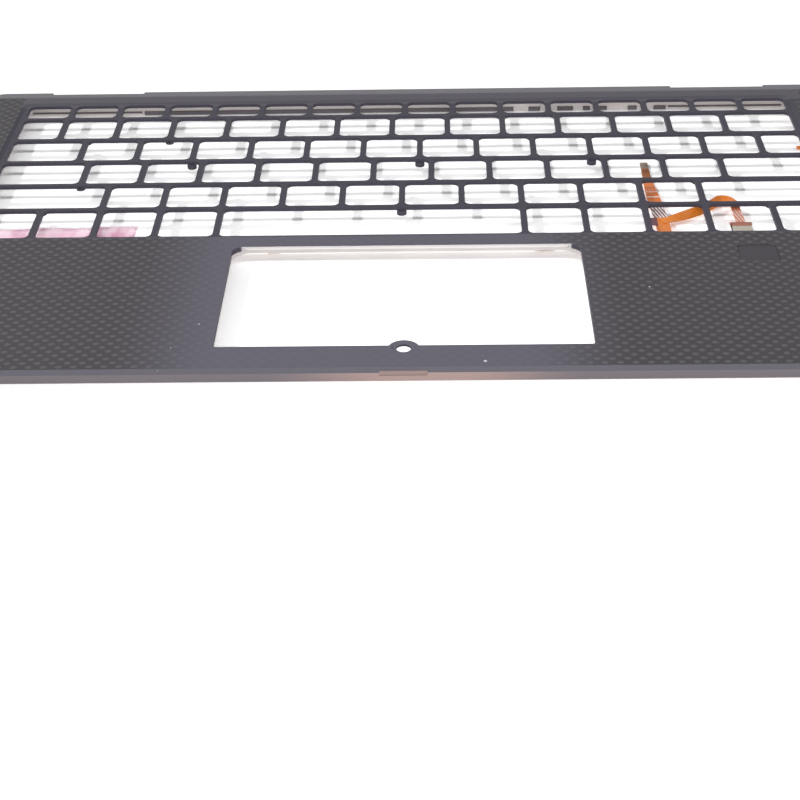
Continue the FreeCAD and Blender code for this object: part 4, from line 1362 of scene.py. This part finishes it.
@dataclass(frozen=True)
class Panel:
    """A bright panel that faces the part, with its width along X.

    Args:
        name: its name.
        place: where its middle is.
        level: the share of a plain white floor's brightness that it gives at the part.
        width: along X.
        depth: across it.
    """

    name: str
    place: Point
    level: float
    width: float
    depth: float

    def hang(self) -> None:
        """Put the panel in the scene."""
        away = Vector(self.place)
        towards = away.normalized()
        upward = towards.cross(Vector((1.0, 0.0, 0.0))).normalized()
        beside = upward.cross(towards)
        half = self.width / 2
        distance = away.length
        reach = half / (half**2 + distance**2) + math.atan(half / distance) / distance
        data = bpy.data.lights.new(self.name, "AREA")
        data.shape = "RECTANGLE"
        data.size = self.width
        data.size_y = self.depth
        data.energy = self.level * math.pi**2 * self.width / (reach * towards.z)
        turn = Matrix((beside, upward, towards)).transposed().to_4x4()
        put(self.name, data).matrix_world = Matrix.Translation(away) @ turn


@dataclass
class Studio:
    """Camera, floor and soft light.

    The camera's angles are degrees, and its sensor and lens millimetres. The floor adds a gain of
    its light for the camera alone, so that it shows as white, and painted light along the part's
    front edge that washes out the shadow under it. White surroundings show around the part, and
    the room gives an even light.
    """

    eye: Point = mm(9.516, -504.9, 251.6)
    pitch: float = 32.198
    yaw: float = 1.480
    roll: float = -1.253
    sensor: float = 36.0
    lens: float = 79.92
    nearest: float = 10.0 * MM
    floor_size: float = 6.0
    floor_colour: Colour = (0.97, 0.96515, 0.97)
    floor_roughness: float = 0.7
    floor_specular: float = 0.1
    floor_gain: float = 0.30
    painted_front_light: float = 0.45
    front_edge: Step = mm(-91.0, -96.5)
    around: Step = mm(200.0, 450.0)
    room: float = 0.05
    lamps: Tuple[Union[Lamp, Panel], ...] = (
        Lamp("rear_left", (-0.63, 0.58, 0.515), 0.27, 4.0),
        Lamp("left", (-0.87, 0.1, 0.48), 0.08, 30.0),
        Lamp("below", (0.1, 0.0, -1.0), 0.16, 30.0),
        Panel("overhead", mm(0.0, -50.0, 450.0), 0.42, *mm(1400.0, 100.0)),
        Panel("fill", mm(9.5, -515.0, 268.0), 0.24, *mm(40.0, 40.0)),
    )

    def place_camera(self) -> None:
        """Set the camera at the photograph's angle."""
        data = bpy.data.cameras.new("camera")
        data.sensor_width = self.sensor
        data.lens = self.lens
        data.clip_start = self.nearest
        camera = put("camera", data)
        turn = Matrix.Rotation(math.radians(self.yaw), 4, "Z")
        tip = Matrix.Rotation(math.radians(90.0 - self.pitch), 4, "X")
        lean = Matrix.Rotation(math.radians(self.roll), 4, "Z")
        camera.matrix_world = Matrix.Translation(self.eye) @ turn @ tip @ lean
        bpy.context.scene.camera = camera

    @staticmethod
    def seen(graph: Graph) -> Socket:
        """What the camera, a gloss or a clear film shows.

        Args:
            graph: the nodes of the floor or the room.

        Returns:
            1 for those rays, and 0 for light.
        """
        rays = graph.node("ShaderNodeLightPath").outputs
        shown = graph.math("ADD", rays["Is Camera Ray"], rays["Is Glossy Ray"], clamp=True)
        return graph.math("ADD", shown, rays["Is Transmission Ray"], clamp=True)

    def floor_material(self) -> bpy.types.Material:
        """White that brightens for the camera, and that is clear from below and for shadows.

        Returns:
            The floor's material.
        """
        material = bpy.data.materials.new("floor")
        material.use_nodes = True
        nodes = material.node_tree.nodes
        graph = Graph(material.node_tree)
        distance = graph.node("ShaderNodeVectorMath", {0: graph.position}, operation="LENGTH")
        around = graph.between(distance.outputs["Value"], *self.around)
        ahead = graph.between(graph.places[Axis.Y.value], *self.front_edge)
        # Painted light on the floor along the front edge washes out the part's shadow there.
        white = graph.math("MAXIMUM", around, graph.product(ahead, self.painted_front_light))
        shown = self.seen(graph)
        feeds: Feeds = {
            "Base Color": self.floor_colour,
            "Roughness": self.floor_roughness,
            "Specular IOR Level": self.floor_specular,
            "Emission Color": WHITE,
            "Emission Strength": graph.product(white, shown),
        }
        graph.fill(nodes["Principled BSDF"], feeds)
        gain = graph.node("ShaderNodeBsdfDiffuse", {"Color": graph.product(shown, self.floor_gain)})
        layers = {0: nodes["Principled BSDF"].outputs[0], 1: gain.outputs[0]}
        lit = graph.node("ShaderNodeAddShader", layers).outputs[0]
        below = graph.node("ShaderNodeNewGeometry").outputs["Backfacing"]
        passed = graph.node("ShaderNodeLightPath").outputs["Is Shadow Ray"]
        clear = graph.node("ShaderNodeBsdfTransparent").outputs[0]
        open_to = graph.math("ADD", below, passed, clamp=True)
        sides = graph.node("ShaderNodeMixShader", {0: open_to, 1: lit, 2: clear})
        graph.fill(nodes["Material Output"], {"Surface": sides.outputs[0]})
        return material

    def lay_floor(self) -> None:
        """A white floor that keeps the soft shadow."""
        half = self.floor_size / 2
        corners = [(-half, -half, 0.0), (half, -half, 0.0), (half, half, 0.0), (-half, half, 0.0)]
        shape("floor", corners, [(0, 1, 2, 3)], self.floor_material())

    def light(self) -> None:
        """An even white room with the lamps."""
        world = bpy.data.worlds.new("room")
        bpy.context.scene.world = world
        world.use_nodes = True
        graph = Graph(world.node_tree)
        shown = graph.product(self.seen(graph), 1.0 - self.room)
        feeds: Feeds = {"Color": WHITE, "Strength": graph.math("ADD", shown, self.room)}
        graph.fill(world.node_tree.nodes["Background"], feeds)
        for lamp in self.lamps:
            lamp.hang()
        bpy.context.scene.view_settings.view_transform = "Standard"


def main() -> None:
    """Load the frame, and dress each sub-assembly."""
    logging.basicConfig(level=logging.INFO, format="%(message)s")
    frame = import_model()
    studio = Studio()
    studio.place_camera()
    studio.lay_floor()
    studio.light()
    ribbons = FlexRibbons(frame)
    ribbons.build()
    for assembly in (ribbons, Deck(frame), Stiffeners(frame), FingerprintReader(frame), RearSeals(frame)):
        assembly.dress()
    PadSeal().build()
    ReleaseFilm().build()


if __name__ == "__main__":
    main()
